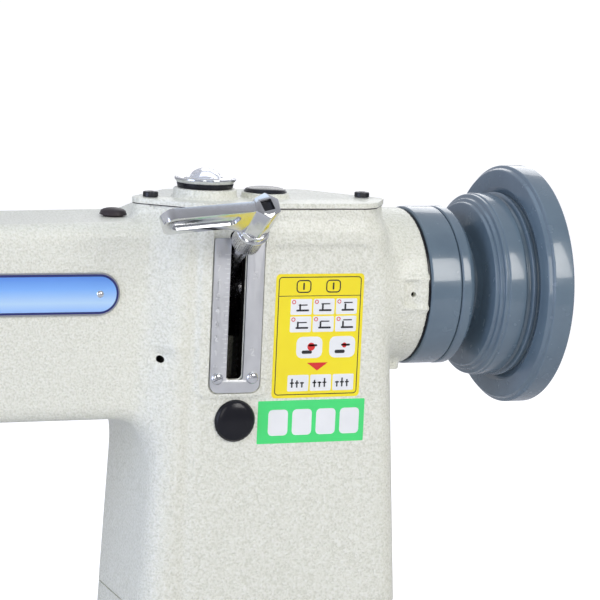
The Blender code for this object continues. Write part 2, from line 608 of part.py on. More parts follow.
SLOT_AT = (-FRONT_Y - LEVER_OFFSET * math.sin(LEVER_TILT)) / math.cos(LEVER_TILT)
hub = tube((LEVER_X - 6, 0, SHAFT_Z), (LEVER_X + 6, 0, SHAFT_Z), 19, 12 + GAP, 28)
lever_rod = rod(on_lever(12.5), on_lever(SLOT_AT + 48), 4, 0.5, 16)
place(join(hub, lever_rod), "stitch_lever", BLACK_STEEL, lever_axis)

lock_axis = pivot_at("lever_handle_axis", *on_lever(SLOT_AT + 30), lever_axis)
nut_start = SLOT_AT + 12
place(turned([(4 + GAP, 16), (7, 16), (7.6, 15.2), (7.6, 1), (6.8, 0), (4 + GAP, 0)], on_lever(nut_start),
             ALONG, 24), "lever_knurled_nut", STEEL, lock_axis)
handle_hub = turned([(4 + GAP, 28), (7.6, 28), (8.2, 27.2), (8.2, 1), (7.6, 0), (4 + GAP, 0)],
                    on_lever(nut_start + 16.4), ALONG, 24)
HANDLE_AT = nut_start + 16.4 + 20.5
arm_bar = rod(on_lever(HANDLE_AT) + Vector((-5, 0, 0)), on_lever(HANDLE_AT) + Vector((-62, 0, 1.5)),
              4.6, 1.5, 16)
handle_bore = rod(on_lever(nut_start), on_lever(HANDLE_AT + 20), 4 + GAP, 0.2, 20)
place(cut(join(handle_hub, arm_bar), handle_bore), "lever_handle", CHROME, lock_axis)


# ---------------------------------------------------------------- hook, feed and belt

hook_axis = pivot_at("hook_shaft_axis", 0, 0, BED_Z)


def on_hook(x):
    return (x, 0, BED_Z)


place(rod(on_hook(-306.7), on_hook(92), 6, 0.6, 20), "hook_shaft", STEEL, hook_axis)
hook_cup = turned([(0, 5.4), (19.8, 5.4), (19.8, 19.5), (22, 19.5), (22, 0), (6 + GAP, 0), (6 + GAP, 3.8),
                   (0, 3.8)], on_hook(-303.2), (-1, 0, 0), 32)
hook_gap = prism(rounded(box_outline(-330, -315, -13, 13, 2)), BED_Z + 8, BED_Z + 30, "XY")
place(cut(hook_cup, hook_gap), "rotary_hook", STEEL, hook_axis)
bobbin_case = turned([(0, 12.4), (2.6, 12.4), (2.6, 1.5), (17.6, 1.5), (17.6, 13), (19.2, 13), (19.2, 0),
                      (0, 0)], on_hook(-309.2), (-1, 0, 0), 28)
place(bobbin_case, "bobbin_case", STEEL)
bobbin_axis = pivot_at("bobbin_axis", -316, 0, BED_Z)
place(turned([(3.0, 12), (17, 12), (17, 11), (10, 11), (10, 3), (17, 3), (17, 2), (3.0, 2)],
             on_hook(-309.2), (-1, 0, 0), 24), "bobbin", PLATE_STEEL, bobbin_axis)
place(tube(on_hook(-280), on_hook(-262), 10, 6 + GAP), "hook_shaft_bush", BRONZE)
place(tube(on_hook(20), on_hook(36), 15, 6 + GAP, 28), "lower_belt_pulley", STEEL, hook_axis)


def belt_loop(upper_r, lower_r):
    """Outline of a belt around both pulleys, seen along the shafts."""
    rise = SHAFT_Z - BED_Z
    lean = math.asin((upper_r - lower_r) / rise)
    points = []
    for k in range(17):
        angle = -lean + (math.pi + 2 * lean) * k / 16
        points.append((upper_r * math.cos(angle), SHAFT_Z + upper_r * math.sin(angle)))
    for k in range(11):
        angle = math.pi + lean + (math.pi - 2 * lean) * k / 10
        points.append((lower_r * math.cos(angle), BED_Z + lower_r * math.sin(angle)))
    return points


place(prism(belt_loop(33, 18), 22, 34, "YZ", [belt_loop(30.5, 15.5)]), "timing_belt", RUBBER)

feed_axis = pivot_at("feed_rock_axis", 0, 0, ROCK_Z)
ROCK_ARM = 22.0
rock_shaft = rod((-295, 0, ROCK_Z), (-4, 0, ROCK_Z), 4, 0.5, 16)
rock_arm = prism(rounded([(-8, ROCK_Z - 7.5, 7), (ROCK_ARM + 5.5, ROCK_Z - 5.5, 5),
                          (ROCK_ARM + 5.5, ROCK_Z + 5.5, 5), (-8, ROCK_Z + 7.5, 7)]), -8, -1, "YZ")
rock_pin = rod((-6, ROCK_ARM, ROCK_Z), (8, ROCK_ARM, ROCK_Z), 3, 0.4, 14)
place(join(rock_shaft, rock_arm, rock_pin), "feed_rock_shaft", STEEL, feed_axis)
carrier = prism(rounded([(-7.5, ROCK_Z - 7, 7), (7.5, ROCK_Z - 7, 7), (14, BED_Z, 8), (9, 138.5, 2),
                         (-9, 138.5, 2), (-14, BED_Z, 8)]), -292, -288, "YZ",
                [circle(0, ROCK_Z, 4 + GAP, 16), circle(0, BED_Z, 9.5, 20)])
bridge = prism(rounded(box_outline(-7, 7, 132, 138.5, 1)), -305, -289, "YZ")
dog_hole = rod((NEEDLE_X, 0, 120), (NEEDLE_X, 0, 160), 3.2, 0.3, 12)
place(cut(join(carrier, bridge), dog_hole), "feed_dog_carrier", STEEL, feed_axis)
dog = prism(box_pts(-7, 7, 138.8, 147.5), -305, -295, "YZ")
dog_cut = rod((NEEDLE_X, 0, 120), (NEEDLE_X, 0, 160), 2.0, 0.3, 12)
place(cut(dog, dog_cut), "feed_dog", STEEL, feed_axis)

feed_rod_axis = pivot_at("feed_rod_axis", 3, ROCK_ARM, ROCK_Z, feed_axis)
feed_ring = prism(circle(0, SHAFT_Z, 23, 28), -0.4, 7.4, "YZ", [circle(0, SHAFT_Z, 16.5, 20)])
feed_bar = prism(rounded([(ROCK_ARM - 5.5, ROCK_Z - 6, 5), (ROCK_ARM + 5.5, ROCK_Z - 6, 5),
                          (ROCK_ARM + 5.5, ROCK_Z + 6, 3), (7, 334, 0), (-3, 334, 0),
                          (ROCK_ARM - 5.5, ROCK_Z + 6, 3)]), -0.4, 7.4, "YZ",
                 [circle(ROCK_ARM, ROCK_Z, 3 + GAP, 14)])
place(join(feed_ring, feed_bar), "feed_rod", STEEL, feed_rod_axis)

needle_plate = prism(rounded(box_outline(-324, -278, -15.7, 15.7, 2)), 145, BED_TOP, "XY",
                     [rounded(box_outline(-306.2, -293.8, -12.6, 12.6, 1.5), 2)])
place(needle_plate, "needle_plate", CHROME)

cover_axis = pivot_at("hook_cover_axis", -346.4, 0, 60.4)
cover_outline = [(BED_R * 0.98 * math.cos(a), min(BED_Z + BED_R * 0.98 * math.sin(a), BED_TOP - 0.4))
                 for a in [2 * math.pi * k / 36 for k in range(36)]]
cover = prism(cover_outline, -345.6, BED_END - GAP, "YZ")
knuckle = rod((-346.4, -12, 60.4), (-346.4, 12, 60.4), 3, 0.4, 16)
place(join(cover, knuckle), "hook_cover", CREAM, cover_axis)

rear = soften(prism(rounded(box_outline(-44, 64, 182, 326, 10)), BACK_Y + GAP, BACK_Y + 4, "XZ"), 0.8, 1)
place(rear, "rear_cover", CREAM)
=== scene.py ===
"""Looks of the cylinder-arm leather sewing machine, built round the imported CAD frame."""
import math

import bmesh
import bpy
import numpy as np
from mathutils import Matrix, Vector


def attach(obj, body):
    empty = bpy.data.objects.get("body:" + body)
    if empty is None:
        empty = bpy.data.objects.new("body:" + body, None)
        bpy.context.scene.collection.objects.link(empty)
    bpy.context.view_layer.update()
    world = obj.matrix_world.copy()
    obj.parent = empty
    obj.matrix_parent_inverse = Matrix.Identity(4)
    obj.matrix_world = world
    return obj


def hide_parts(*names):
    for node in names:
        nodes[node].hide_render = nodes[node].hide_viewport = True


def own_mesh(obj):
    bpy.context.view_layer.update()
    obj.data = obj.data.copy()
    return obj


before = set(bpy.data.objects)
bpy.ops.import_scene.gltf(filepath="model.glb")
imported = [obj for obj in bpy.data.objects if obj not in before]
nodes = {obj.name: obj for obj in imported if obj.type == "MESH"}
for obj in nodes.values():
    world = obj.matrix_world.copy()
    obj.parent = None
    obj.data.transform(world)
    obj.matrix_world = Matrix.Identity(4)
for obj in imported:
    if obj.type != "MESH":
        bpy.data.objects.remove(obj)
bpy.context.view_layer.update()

MM = 0.001
SHAFT_Z = 353.5
FRONT_Y = -52.0
BACK_Y = 48.0
ARM_FRONT = -41.0
ARM_BACK = 39.0
BARREL_END = 103.5
HEAD_END = -352.0
SEAM_Z = 407.0
COVER_TOP = 410.0
FITTING_Y = -20.0
FOOT_TOP = 165.0
BED_Z = 105.0
BED_TOP = 148.0
ROCK_Z = 78.0
OIL_X = -32.5
PLUG_X = 5.5
NEEDLE_X = -300.0
PRESSER_X = -330.0
TENSION_X = -272.0
TENSION_Z = 352.0
CASTING_WALL = 6.0
UP = (0, 0, 1)
OUT = (0, -1, 0)
BACK = (0, 1, 0)
COVER_OUTLINE = [(-80, -20, 9), (-46, -52, 18), (64, -52, 16), (81.5, -24, 8), (46, 25, 12), (-42, 25, 12)]


# ---- materials

class NodeTree:
    """Short calls for procedural nodes."""

    def __init__(self, tree):
        self.tree = tree

    def node(self, kind, **inputs):
        node = self.tree.nodes.new("ShaderNode" + kind)
        for key, value in inputs.items():
            socket = node.inputs[key.replace("_", " ")]
            if isinstance(value, bpy.types.NodeSocket):
                self.tree.links.new(value, socket)
            else:
                socket.default_value = value
        return node

    def ramp(self, value, stops):
        node = self.node("ValToRGB", Fac=value)
        ramp = node.color_ramp
        while len(ramp.elements) < len(stops):
            ramp.elements.new(0.5)
        for element, (place, colour) in zip(ramp.elements, stops):
            element.position = place
            if isinstance(colour, (int, float)):
                colour = (colour, colour, colour)
            element.color = (*colour, 1.0)
        return node.outputs["Color"]


class Finish(NodeTree):
    """A Principled material with short calls for its texture and bump."""

    def __init__(self, name, colour, roughness, metallic=0.0, coat=0.0):
        self.mat = bpy.data.materials.new(name)
        self.mat.use_nodes = True
        super().__init__(self.mat.node_tree)
        self.shader = self.tree.nodes["Principled BSDF"]
        self.set("Base Color", (*colour, 1.0))
        self.set("Roughness", roughness)
        self.set("Metallic", metallic)
        if coat:
            self.set("Coat Weight", coat)
            self.set("Coat Roughness", 0.06)
        self.coords = self.node("TexCoord").outputs["Object"]
        self.normal = None

    def set(self, socket, value):
        self.shader.inputs[socket].default_value = value

    def link(self, out, socket):
        self.tree.links.new(out, self.shader.inputs[socket])

    def stretched(self, scale):
        node = self.node("Mapping", Vector=self.coords)
        node.inputs["Scale"].default_value = scale
        return node.outputs["Vector"]

    def noise(self, scale, detail=2.0, roughness=0.5, vector=None):
        node = self.node("TexNoise", Vector=vector or self.coords, Scale=scale, Detail=detail,
                         Roughness=roughness)
        return node.outputs["Fac"]

    def bump(self, height, strength, distance):
        node = self.node("Bump", Height=height, Strength=strength, Distance=distance)
        if self.normal is not None:
            self.tree.links.new(self.normal, node.inputs["Normal"])
        self.normal = node.outputs["Normal"]
        self.link(self.normal, "Normal")
        return self


def cream_paint():
    """Thick hammer-tone enamel: pebbled skin with a fine, slightly mottled speckle."""
    f = Finish("cream_hammer_paint", (0.76, 0.765, 0.715), 0.42, 0.0, 0.2)
    peel = f.noise(760.0, 1.5, 0.5)
    f.link(f.ramp(peel, [(0.3, (0.72, 0.722, 0.62)), (0.5, (0.835, 0.835, 0.735)),
                         (0.7, (0.91, 0.91, 0.83))]), "Base Color")
    f.bump(peel, 0.8, 0.0011)
    f.bump(f.noise(260.0, 1.0), 0.25, 0.0008)
    f.link(f.ramp(f.noise(60.0, 3.0), [(0.35, 0.36), (0.7, 0.48)]), "Roughness")
    return f.mat


def grey_paint():
    """Glossy blue-grey enamel with a faint orange peel."""
    f = Finish("blue_grey_enamel", (0.15, 0.215, 0.27), 0.24, 0.0, 0.6)
    broad = f.noise(45.0, 3.0)
    f.link(f.ramp(broad, [(0.3, (0.118, 0.170, 0.222)), (0.7, (0.138, 0.196, 0.250))]), "Base Color")
    f.bump(f.noise(420.0, 0.0), 0.05, 0.0003)
    f.link(f.ramp(f.noise(150.0), [(0.3, 0.2), (0.8, 0.3)]), "Roughness")
    return f.mat


def metal(name, colour, roughness, grain=None, strength=0.05):
    """Bare metal with fine scratches along one direction, or an even cloudy polish."""
    f = Finish(name, colour, roughness, 1.0)
    vector = f.stretched(grain) if grain else f.coords
    fine = f.noise(1.0 if grain else 500.0, 3.0, 0.6, vector)
    cloud = f.noise(80.0, 2.0)
    f.link(f.ramp(cloud, [(0.3, [c * 0.93 for c in colour]), (0.7, [min(c * 1.04, 1) for c in colour])]),
           "Base Color")
    f.link(f.ramp(fine, [(0.3, roughness * 0.8), (0.75, min(roughness * 1.35, 1.0))]), "Roughness")
    f.bump(fine, strength, 0.0002)
    return f.mat


def rubber(name, colour, roughness=0.32):
    f = Finish(name, colour, roughness)
    f.set("Specular IOR Level", 0.28)
    fine = f.noise(900.0, 2.0)
    f.link(f.ramp(f.noise(120.0), [(0.3, roughness * 0.85), (0.75, roughness * 1.3)]), "Roughness")
    f.bump(fine, 0.05, 0.0002)
    return f.mat


def glass():
    f = Finish("clear_oil_dome", (0.93, 0.95, 1.0), 0.03)
    f.set("Transmission Weight", 0.92)
    f.set("IOR", 1.46)
    f.bump(f.noise(40.0), 0.06, 0.0005)
    return f.mat


def sticker(name, colour, coat=0.15):
    f = Finish(name, colour, 0.38, 0.0, coat)
    tone = f.noise(70.0)
    f.link(f.ramp(tone, [(0.3, [c * 0.97 for c in colour]), (0.7, [min(1, c * 1.02) for c in colour])]),
           "Base Color")
    f.bump(f.noise(300.0), 0.04, 0.0002)
    return f.mat


def enamel_blue():
    """Blue enamel with a painted highlight band across its lower middle height, darker towards its top edge.
    """
    f = Finish("blue_enamel", (0.08, 0.3, 0.85), 0.18, 0.0, 0.5)
    split = f.node("SeparateXYZ", Vector=f.coords)
    down = f.node("MapRange", Value=split.outputs["Z"], From_Min=0.344, From_Max=0.369)
    # The height ramp paints a highlight band on the flat enamel and darkens its top edge.
    f.link(f.ramp(down.outputs["Result"], [(0.0, (0.24, 0.48, 1.0)), (0.3, (0.52, 0.74, 1.0)),
                                           (0.62, (0.24, 0.50, 1.0)), (1.0, (0.08, 0.24, 0.78))]),
           "Base Color")
    return f.mat


CREAM = cream_paint()
GREY = grey_paint()
STEEL = metal("bright_steel", (0.62, 0.62, 0.63), 0.24)
SATIN = metal("satin_steel_plate", (0.74, 0.75, 0.77), 0.38, (3000, 3000, 90), 0.08)
CHROME = metal("polished_chrome", (0.74, 0.75, 0.77), 0.12, None, 0.015)
WHITE_STEEL = metal("bright_engraving", (0.86, 0.87, 0.88), 0.5)
CAST_STEEL = metal("turned_steel", (0.50, 0.50, 0.51), 0.33)
BLACK_OXIDE = metal("black_oxide_steel", (0.05, 0.05, 0.055), 0.36)
# Near-black metal used as painted shade on the casting's inner faces.
INTERIOR_SHADE = metal("painted_interior_shade", (0.035, 0.032, 0.03), 0.6)
BRONZE = metal("bearing_bronze", (0.55, 0.36, 0.17), 0.35)
RUBBER = rubber("black_rubber", (0.010, 0.010, 0.014), 0.22)
BROWN_RUBBER = rubber("aged_brown_rubber", (0.042, 0.033, 0.036), 0.42)
GLASS = glass()
INK = sticker("dark_ink", (0.02, 0.02, 0.025), 0.0)
YELLOW = sticker("yellow_sticker", (1.0, 0.82, 0.02))
GREEN = sticker("green_sticker", (0.07, 0.80, 0.21))
WHITE = sticker("white_print", (0.9, 0.91, 0.92))
BLUE = enamel_blue()


SLOTS = {CREAM: "cream_paint", GREY: "grey_paint", SATIN: "satin_plate", STEEL: "steel",
         WHITE_STEEL: "steel", CAST_STEEL: "steel", CHROME: "chrome", BLACK_OXIDE: "black_steel",
         RUBBER: "rubber", BROWN_RUBBER: "rubber", BRONZE: "bronze", GLASS: "glass", BLUE: "blue_enamel"}


# ---- mesh helpers

def finish_piece(obj, name, mat, body="casting", replaces=(), slot=None, smooth=30.0):
    """Names a piece, gives it its finish, and hangs it on its CAD body."""
    slot = slot or SLOTS.get(mat)
    obj.name = name
    obj.data.materials.clear()
    obj.data.materials.append(mat)
    if obj.name not in bpy.context.scene.collection.objects:
        bpy.context.scene.collection.objects.link(obj)
    if smooth and obj.type == "MESH":
        obj.data.shade_smooth()
        obj.data.set_sharp_from_angle(angle=math.radians(smooth))
    if replaces:
        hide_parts(*replaces)
    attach(obj, body)
    return obj


def from_bmesh(work, name="piece"):
    mesh = bpy.data.meshes.new(name)
    work.to_mesh(mesh)
    work.free()
    return bpy.data.objects.new(name, mesh)


def evaluated(obj):
    """The object with its modifiers applied, as a plain mesh object in the same place."""
    if obj.name not in bpy.context.scene.collection.objects:
        bpy.context.scene.collection.objects.link(obj)
    bpy.context.view_layer.update()
    graph = bpy.context.evaluated_depsgraph_get()
    mesh = bpy.data.meshes.new_from_object(obj.evaluated_get(graph))
    mesh.transform(obj.matrix_world)
    bpy.data.objects.remove(obj, do_unlink=True)
    return bpy.data.objects.new("solid", mesh)


def combine(target, tools, operation="DIFFERENCE"):
    """Applies a Boolean with each tool in turn and removes the tools."""
    scene = bpy.context.scene.collection
    scene.objects.link(target)
    for tool in tools:
        scene.objects.link(tool)
        boolean = target.modifiers.new("boolean", "BOOLEAN")
        boolean.operation = operation
        boolean.object = tool
    done = evaluated(target)
    for tool in tools:
        bpy.data.objects.remove(tool, do_unlink=True)
    return done


def merged(objects):
    """Several meshes in one object, kept as separate solids."""
    work = bmesh.new()
    for obj in objects:
        obj.data.transform(obj.matrix_world)
        work.from_mesh(obj.data)
        bpy.data.objects.remove(obj, do_unlink=True)
    return from_bmesh(work)


def bevelled(obj, width, segments=3, angle=30.0):
    bevel = obj.modifiers.new("bevel", "BEVEL")
    bevel.width = width * MM
    bevel.segments = segments
    bevel.limit_method = "ANGLE"
    bevel.angle_limit = math.radians(angle)
    bevel.harden_normals = False
    return evaluated(obj)


def arc(centre, start, end, segments):
    """Points round a centre, from its offset start to its offset end."""
    sweep = math.atan2(start.x * end.y - start.y * end.x, start.dot(end))
    points = []
    for step in range(segments + 1):
        turn = sweep * step / segments
        cos, sin = math.cos(turn), math.sin(turn)
        points.append((centre.x + start.x * cos - start.y * sin,
                       centre.y + start.x * sin + start.y * cos))
    return points


def rounded(corners, segments=6):
    """An outline from (u, v, radius) corners; a radius of 0 keeps the corner sharp."""
    points = []
    count = len(corners)
    for i, (u, v, radius) in enumerate(corners):
        here = Vector((u, v))
        if radius <= 0:
            points.append((u, v))
            continue
        before = (Vector(corners[i - 1][:2]) - here).normalized()
        after = (Vector(corners[(i + 1) % count][:2]) - here).normalized()
        half = before.angle(after) / 2
        centre = here + (before + after).normalized() * (radius / math.sin(half))
        start = here + before * (radius / math.tan(half)) - centre
        end = here + after * (radius / math.tan(half)) - centre
        points += arc(centre, start, end, segments)
    return points


def box_corners(u0, u1, v0, v1, radius=0.0):
    return [(u0, v0, radius), (u1, v0, radius), (u1, v1, radius), (u0, v1, radius)]


def circle(u, v, radius, count=32):
    return [(u + radius * math.cos(2 * math.pi * k / count),
             v + radius * math.sin(2 * math.pi * k / count)) for k in range(count)]


PLANES = {"XY": Matrix.Identity(4),
          "XZ": Matrix.Rotation(math.pi / 2, 4, "X"),
          "YZ": Matrix.Rotation(math.pi / 2, 4, "Z") @ Matrix.Rotation(math.pi / 2, 4, "X")}


def prism(outline, low, high, plane="XY", bevel=0.0, segments=2, holes=(), frame_matrix=None):
    """An outline with holes, extruded from low to high along the plane's normal."""
    curve = bpy.data.curves.new("outline", "CURVE")
    curve.dimensions = "2D"
    curve.fill_mode = "BOTH"
    curve.extrude = (high - low) / 2 * MM
    for loop in (outline, *holes):
        spline = curve.splines.new("POLY")
        spline.points.add(len(loop) - 1)
        for point, corner in zip(spline.points, loop):
            point.co = (corner[0] * MM, corner[1] * MM, 0.0, 1.0)
        spline.use_cyclic_u = True
    middle = (low + high) / 2 * MM
    obj = bpy.data.objects.new("outline", curve)
    sign = -1.0 if plane == "XZ" else 1.0
    obj.matrix_world = PLANES[plane] @ Matrix.Translation((0.0, 0.0, sign * middle))
    solid = evaluated(obj)
    work = bmesh.new()
    work.from_mesh(solid.data)
    bmesh.ops.remove_doubles(work, verts=work.verts, dist=0.00001)
    bmesh.ops.recalc_face_normals(work, faces=work.faces)
    work.to_mesh(solid.data)
    work.free()
    if frame_matrix is not None:
        solid.data.transform(frame_matrix)
    return bevelled(solid, bevel, segments) if bevel else solid


def axis_matrix(at, axis):
    turn = Vector(UP).rotation_difference(Vector(axis)).to_matrix().to_4x4()
    return Matrix.Translation(Vector(at) * MM) @ turn


def lathe(profile, at=(0, 0, 0), axis=UP, steps=64, notch=0.0):
    """A turned solid from a (radius, height) profile. A notch cuts knurls in its widest stretch."""
    wide = max(radius for radius, _ in profile)
    work = bmesh.new()
    rings = []
    for radius, height in profile:
        if radius < 1e-6:
            rings.append([work.verts.new((0, 0, height * MM))])
            continue
        cuts = notch if abs(radius - wide) < 0.01 else 0.0
        ring = []
        for k in range(steps):
            angle = 2 * math.pi * k / steps
            r = radius - cuts if k % 4 in (0, 3) else radius
            ring.append(work.verts.new((r * math.cos(angle) * MM, r * math.sin(angle) * MM, height * MM)))
        rings.append(ring)
    pairs = list(zip(rings, rings[1:]))
    if profile[0][0] > 1e-6:
        pairs.append((rings[-1], rings[0]))
    for upper, lower in pairs:
        for k in range(steps):
            n = (k + 1) % steps
            corners = []
            for ring, index in ((upper, k), (lower, k), (lower, n), (upper, n)):
                vert = ring[index if len(ring) > 1 else 0]
                if vert not in corners:
                    corners.append(vert)
            if len(corners) > 2:
                work.faces.new(corners)
    bmesh.ops.recalc_face_normals(work, faces=work.faces)
    bmesh.ops.transform(work, matrix=axis_matrix(at, axis), verts=work.verts)
    return from_bmesh(work)


def soft_profile(corners, segments=5):
    """A turned profile whose (radius, height, fillet) corners are rounded."""
    ends_open = corners[0][0] < 1e-6
    points = []
    last = len(corners) - 1
    for i, (r, h, fillet) in enumerate(corners):
        if fillet <= 0 or (ends_open and i in (0, last)):
            points.append((r, h))
            continue
        here = Vector((r, h))
        before = Vector(corners[i - 1][:2]) - here
        after = Vector(corners[(i + 1) % len(corners)][:2]) - here
        half = before.angle(after) / 2
        if half > math.radians(88):
            points.append((r, h))
            continue
        reach = min(fillet / math.tan(half), before.length * 0.49, after.length * 0.49)
        radius = reach * math.tan(half)
        before.normalize()
        after.normalize()
        centre = here + (before + after).normalized() * (radius / math.sin(half))
        start = here + before * reach - centre
        end = here + after * reach - centre
        points += arc(centre, start, end, segments)
    return points


def tube_along(points, radius, name="wire", resolution=4):
    """A round wire along smooth points."""
    curve = bpy.data.curves.new(name, "CURVE")
    curve.dimensions = "3D"
    curve.bevel_depth = radius * MM
    curve.bevel_resolution = resolution
    curve.use_fill_caps = True
    spline = curve.splines.new("POLY")
    spline.points.add(len(points) - 1)
    for point, co in zip(spline.points, points):
        point.co = (co[0] * MM, co[1] * MM, co[2] * MM, 1.0)
    return evaluated(bpy.data.objects.new(name, curve))


# ---- rounded castings

def round_box(x, y, radius):
    """Signed distance to a 2D box corner region, x and y measured from its flat sides."""
    qx = x + radius
    qy = y + radius
    return np.hypot(np.maximum(qx, 0), np.maximum(qy, 0)) + np.minimum(np.maximum(qx, qy), 0) - radius


def round_union(a, b, radius):
    fillet = np.hypot(np.maximum(radius - a, 0), np.maximum(radius - b, 0))
    return np.maximum(radius, np.minimum(a, b)) - fillet


def surface_net(field, low, high, cell):
    """A quad mesh on a field's zero level: one vertex for each cell that the surface crosses."""
    low = np.array(low, float)
    counts = np.ceil((np.array(high) - low) / cell).astype(int) + 1
    axes = [low[i] + cell * np.arange(counts[i]) for i in range(3)]
    grid = np.meshgrid(*axes, indexing="ij")
    values = field(*grid)
    inside = values < 0
    corner_sum = np.zeros(tuple(counts - 1), int)
    for dx in (0, 1):
        for dy in (0, 1):
            for dz in (0, 1):
                corner_sum += inside[dx:dx + counts[0] - 1, dy:dy + counts[1] - 1, dz:dz + counts[2] - 1]
    mixed = (corner_sum > 0) & (corner_sum < 8)
    index = -np.ones(mixed.shape, int)
    cells = np.argwhere(mixed)
    index[mixed] = np.arange(len(cells))
    points = low + (cells + 0.5) * cell
    for _ in range(4):
        points = to_surface(field, points, cell)
    quads = []
    for axis in range(3):
        u, v = [(1, 2), (2, 0), (0, 1)][axis]
        first = np.take(inside, np.arange(counts[axis] - 1), axis)
        second = np.take(inside, np.arange(1, counts[axis]), axis)
        for start_inside in (True, False):
            edges = np.argwhere((first == start_inside) & (second != start_inside))
            keep = (edges[:, u] > 0) & (edges[:, v] > 0)
            keep &= (edges[:, u] < counts[u] - 1) & (edges[:, v] < counts[v] - 1)
            edges = edges[keep]
            ring = []
            for du, dv in ((-1, -1), (0, -1), (0, 0), (-1, 0)):
                cell_at = edges.copy()
                cell_at[:, u] += du
                cell_at[:, v] += dv
                ring.append(index[cell_at[:, 0], cell_at[:, 1], cell_at[:, 2]])
            ring = np.stack(ring, 1)
            quads.append(ring if start_inside else ring[:, ::-1])
    mesh = bpy.data.meshes.new("casting")
    mesh.from_pydata((points * MM).tolist(), [], np.concatenate(quads).tolist())
    mesh.validate()
    return bpy.data.objects.new("casting", mesh)


def to_surface(field, points, cell):
    """Moves points along the field's slope towards its zero level, at most half a cell."""
    step = 0.05
    value = field(points[:, 0], points[:, 1], points[:, 2])
    slope = np.stack([(field(*(points + step * np.eye(3)[i]).T) - value) / step for i in range(3)], 1)
    size = np.maximum((slope ** 2).sum(1, keepdims=True), 1e-3)
    move = -value[:, None] * slope / size
    return points + np.clip(move, -0.5 * cell, 0.5 * cell)


def clamp01(value):
    return np.clip(value, 0.0, 1.0)


def smoothstep(low, high, value):
    t = clamp01((value - low) / (high - low))
    return t * t * (3 - 2 * t)


def bump_at(distance_squared, width):
    return np.exp(-distance_squared / (width * width))


def slab(value, low, high):
    return np.maximum(low - value, value - high)


def cylinder_x(x, y, z, height, radius, low, high, edge=0.5):
    return round_box(np.hypot(y, z - height) - radius, slab(x, low, high), edge)


def outline_distance(points, x, y):
    """Signed distance from the outline, negative inside."""
    nearest = np.full(np.shape(x), 1e9)
    crossings = np.zeros(np.shape(x), bool)
    for (ax, ay), (bx, by) in zip(points, points[1:] + points[:1]):
        ex, ey = bx - ax, by - ay
        t = clamp01(((x - ax) * ex + (y - ay) * ey) / (ex * ex + ey * ey))
        nearest = np.minimum(nearest, np.hypot(x - ax - t * ex, y - ay - t * ey))
        if ay != by:
            crosses = (ay > y) != (by > y)
            crossings ^= crosses & (x < ex * (y - ay) / ey + ax)
    return np.where(crossings, -nearest, nearest)


def grown(corners, amount):
    """The corners moved outward from their middle by about an amount."""
    centre = Vector((4.0, -14.0))
    out = []
    for u, v, radius in corners:
        away = (Vector((u, v)) - centre).normalized() * amount
        out.append((u + away.x, v + away.y, max(radius + amount, 1.0)))
    return out


BOSS_OUTLINE = rounded(grown(COVER_OUTLINE, -0.9), 8)


def arm_outer(x, y, z):
    """The outside of the upper casting: pillar, arm, head, barrel and cover seat, blended as cast."""
    left = -73 + (z - 140) * 11 / 260
    right = 94.5 - (z - 140) * 18.5 / 260
    across = np.maximum(left - x, x - right)
    pillar = round_box(across, slab(y, FRONT_Y, BACK_Y), 13)
    pillar = round_box(pillar, z - 400, 11)
    top = 398 + (x + 30) * 6 / 322
    bottom = 262 + 19 * smoothstep(-253, -231, x)
    profile = round_union(bottom - z, left + 10 - x, 34)
    arm = round_box(slab(y, ARM_FRONT, ARM_BACK), np.maximum(profile, z - top), 10)
    arm = round_box(arm, slab(x, HEAD_END, -20), 2.5)
    body = round_union(pillar, arm, 13)
    barrel = cylinder_x(x, y, z, SHAFT_Z, 48, 70, BARREL_END, 1.6)
    body = round_union(body, barrel, 9)
    if np.ndim(x) == 3:
        seat = outline_distance(BOSS_OUTLINE, x[:, :, 0], y[:, :, 0])[:, :, None] + 0 * z
    else:
        seat = outline_distance(BOSS_OUTLINE, x, y)
    seat = np.maximum(seat, slab(z, 388, SEAM_Z - 0.5))
    body = round_union(body, seat, 6)
    ledge = round_box(round_box(slab(x, 74, 98), slab(y, -22, 22), 3), slab(z, 304.0, 320), 1.2)
    body = round_union(body, ledge, 3)
    rim = round_box(slab(x, -44.3, -1.2), slab(z, 296.5, 397), 5)
    rim = round_box(rim, slab(y, -53.2, -30), 0.8)
    body = round_union(body, rim, 2.5)
    front = 1 - smoothstep(-40, -20, y)
    inset = 0.9 * bump_at((x + 48.5) ** 2, 3.6) * front
    inset += 2.8 * bump_at((x + 64.5) ** 2 + (z - 320.5) ** 2, 4.4) * front
    inset -= 2.2 * bump_at((x + 58.5) ** 2 + (z - 325.5) ** 2, 4.0) * front
    pad = slab(z, 347.4, 362.4)
    pad = np.maximum(pad, 87.5 - x)
    inset += 1.9 * clamp01(0.5 - pad / 1.6) * front * (1 - smoothstep(94, 99, x))
    ridge = bump_at((np.abs(z - 355) - 9.4) ** 2, 1.7) * smoothstep(84, 90, x)
    inset -= 1.1 * ridge * front
    return body + inset


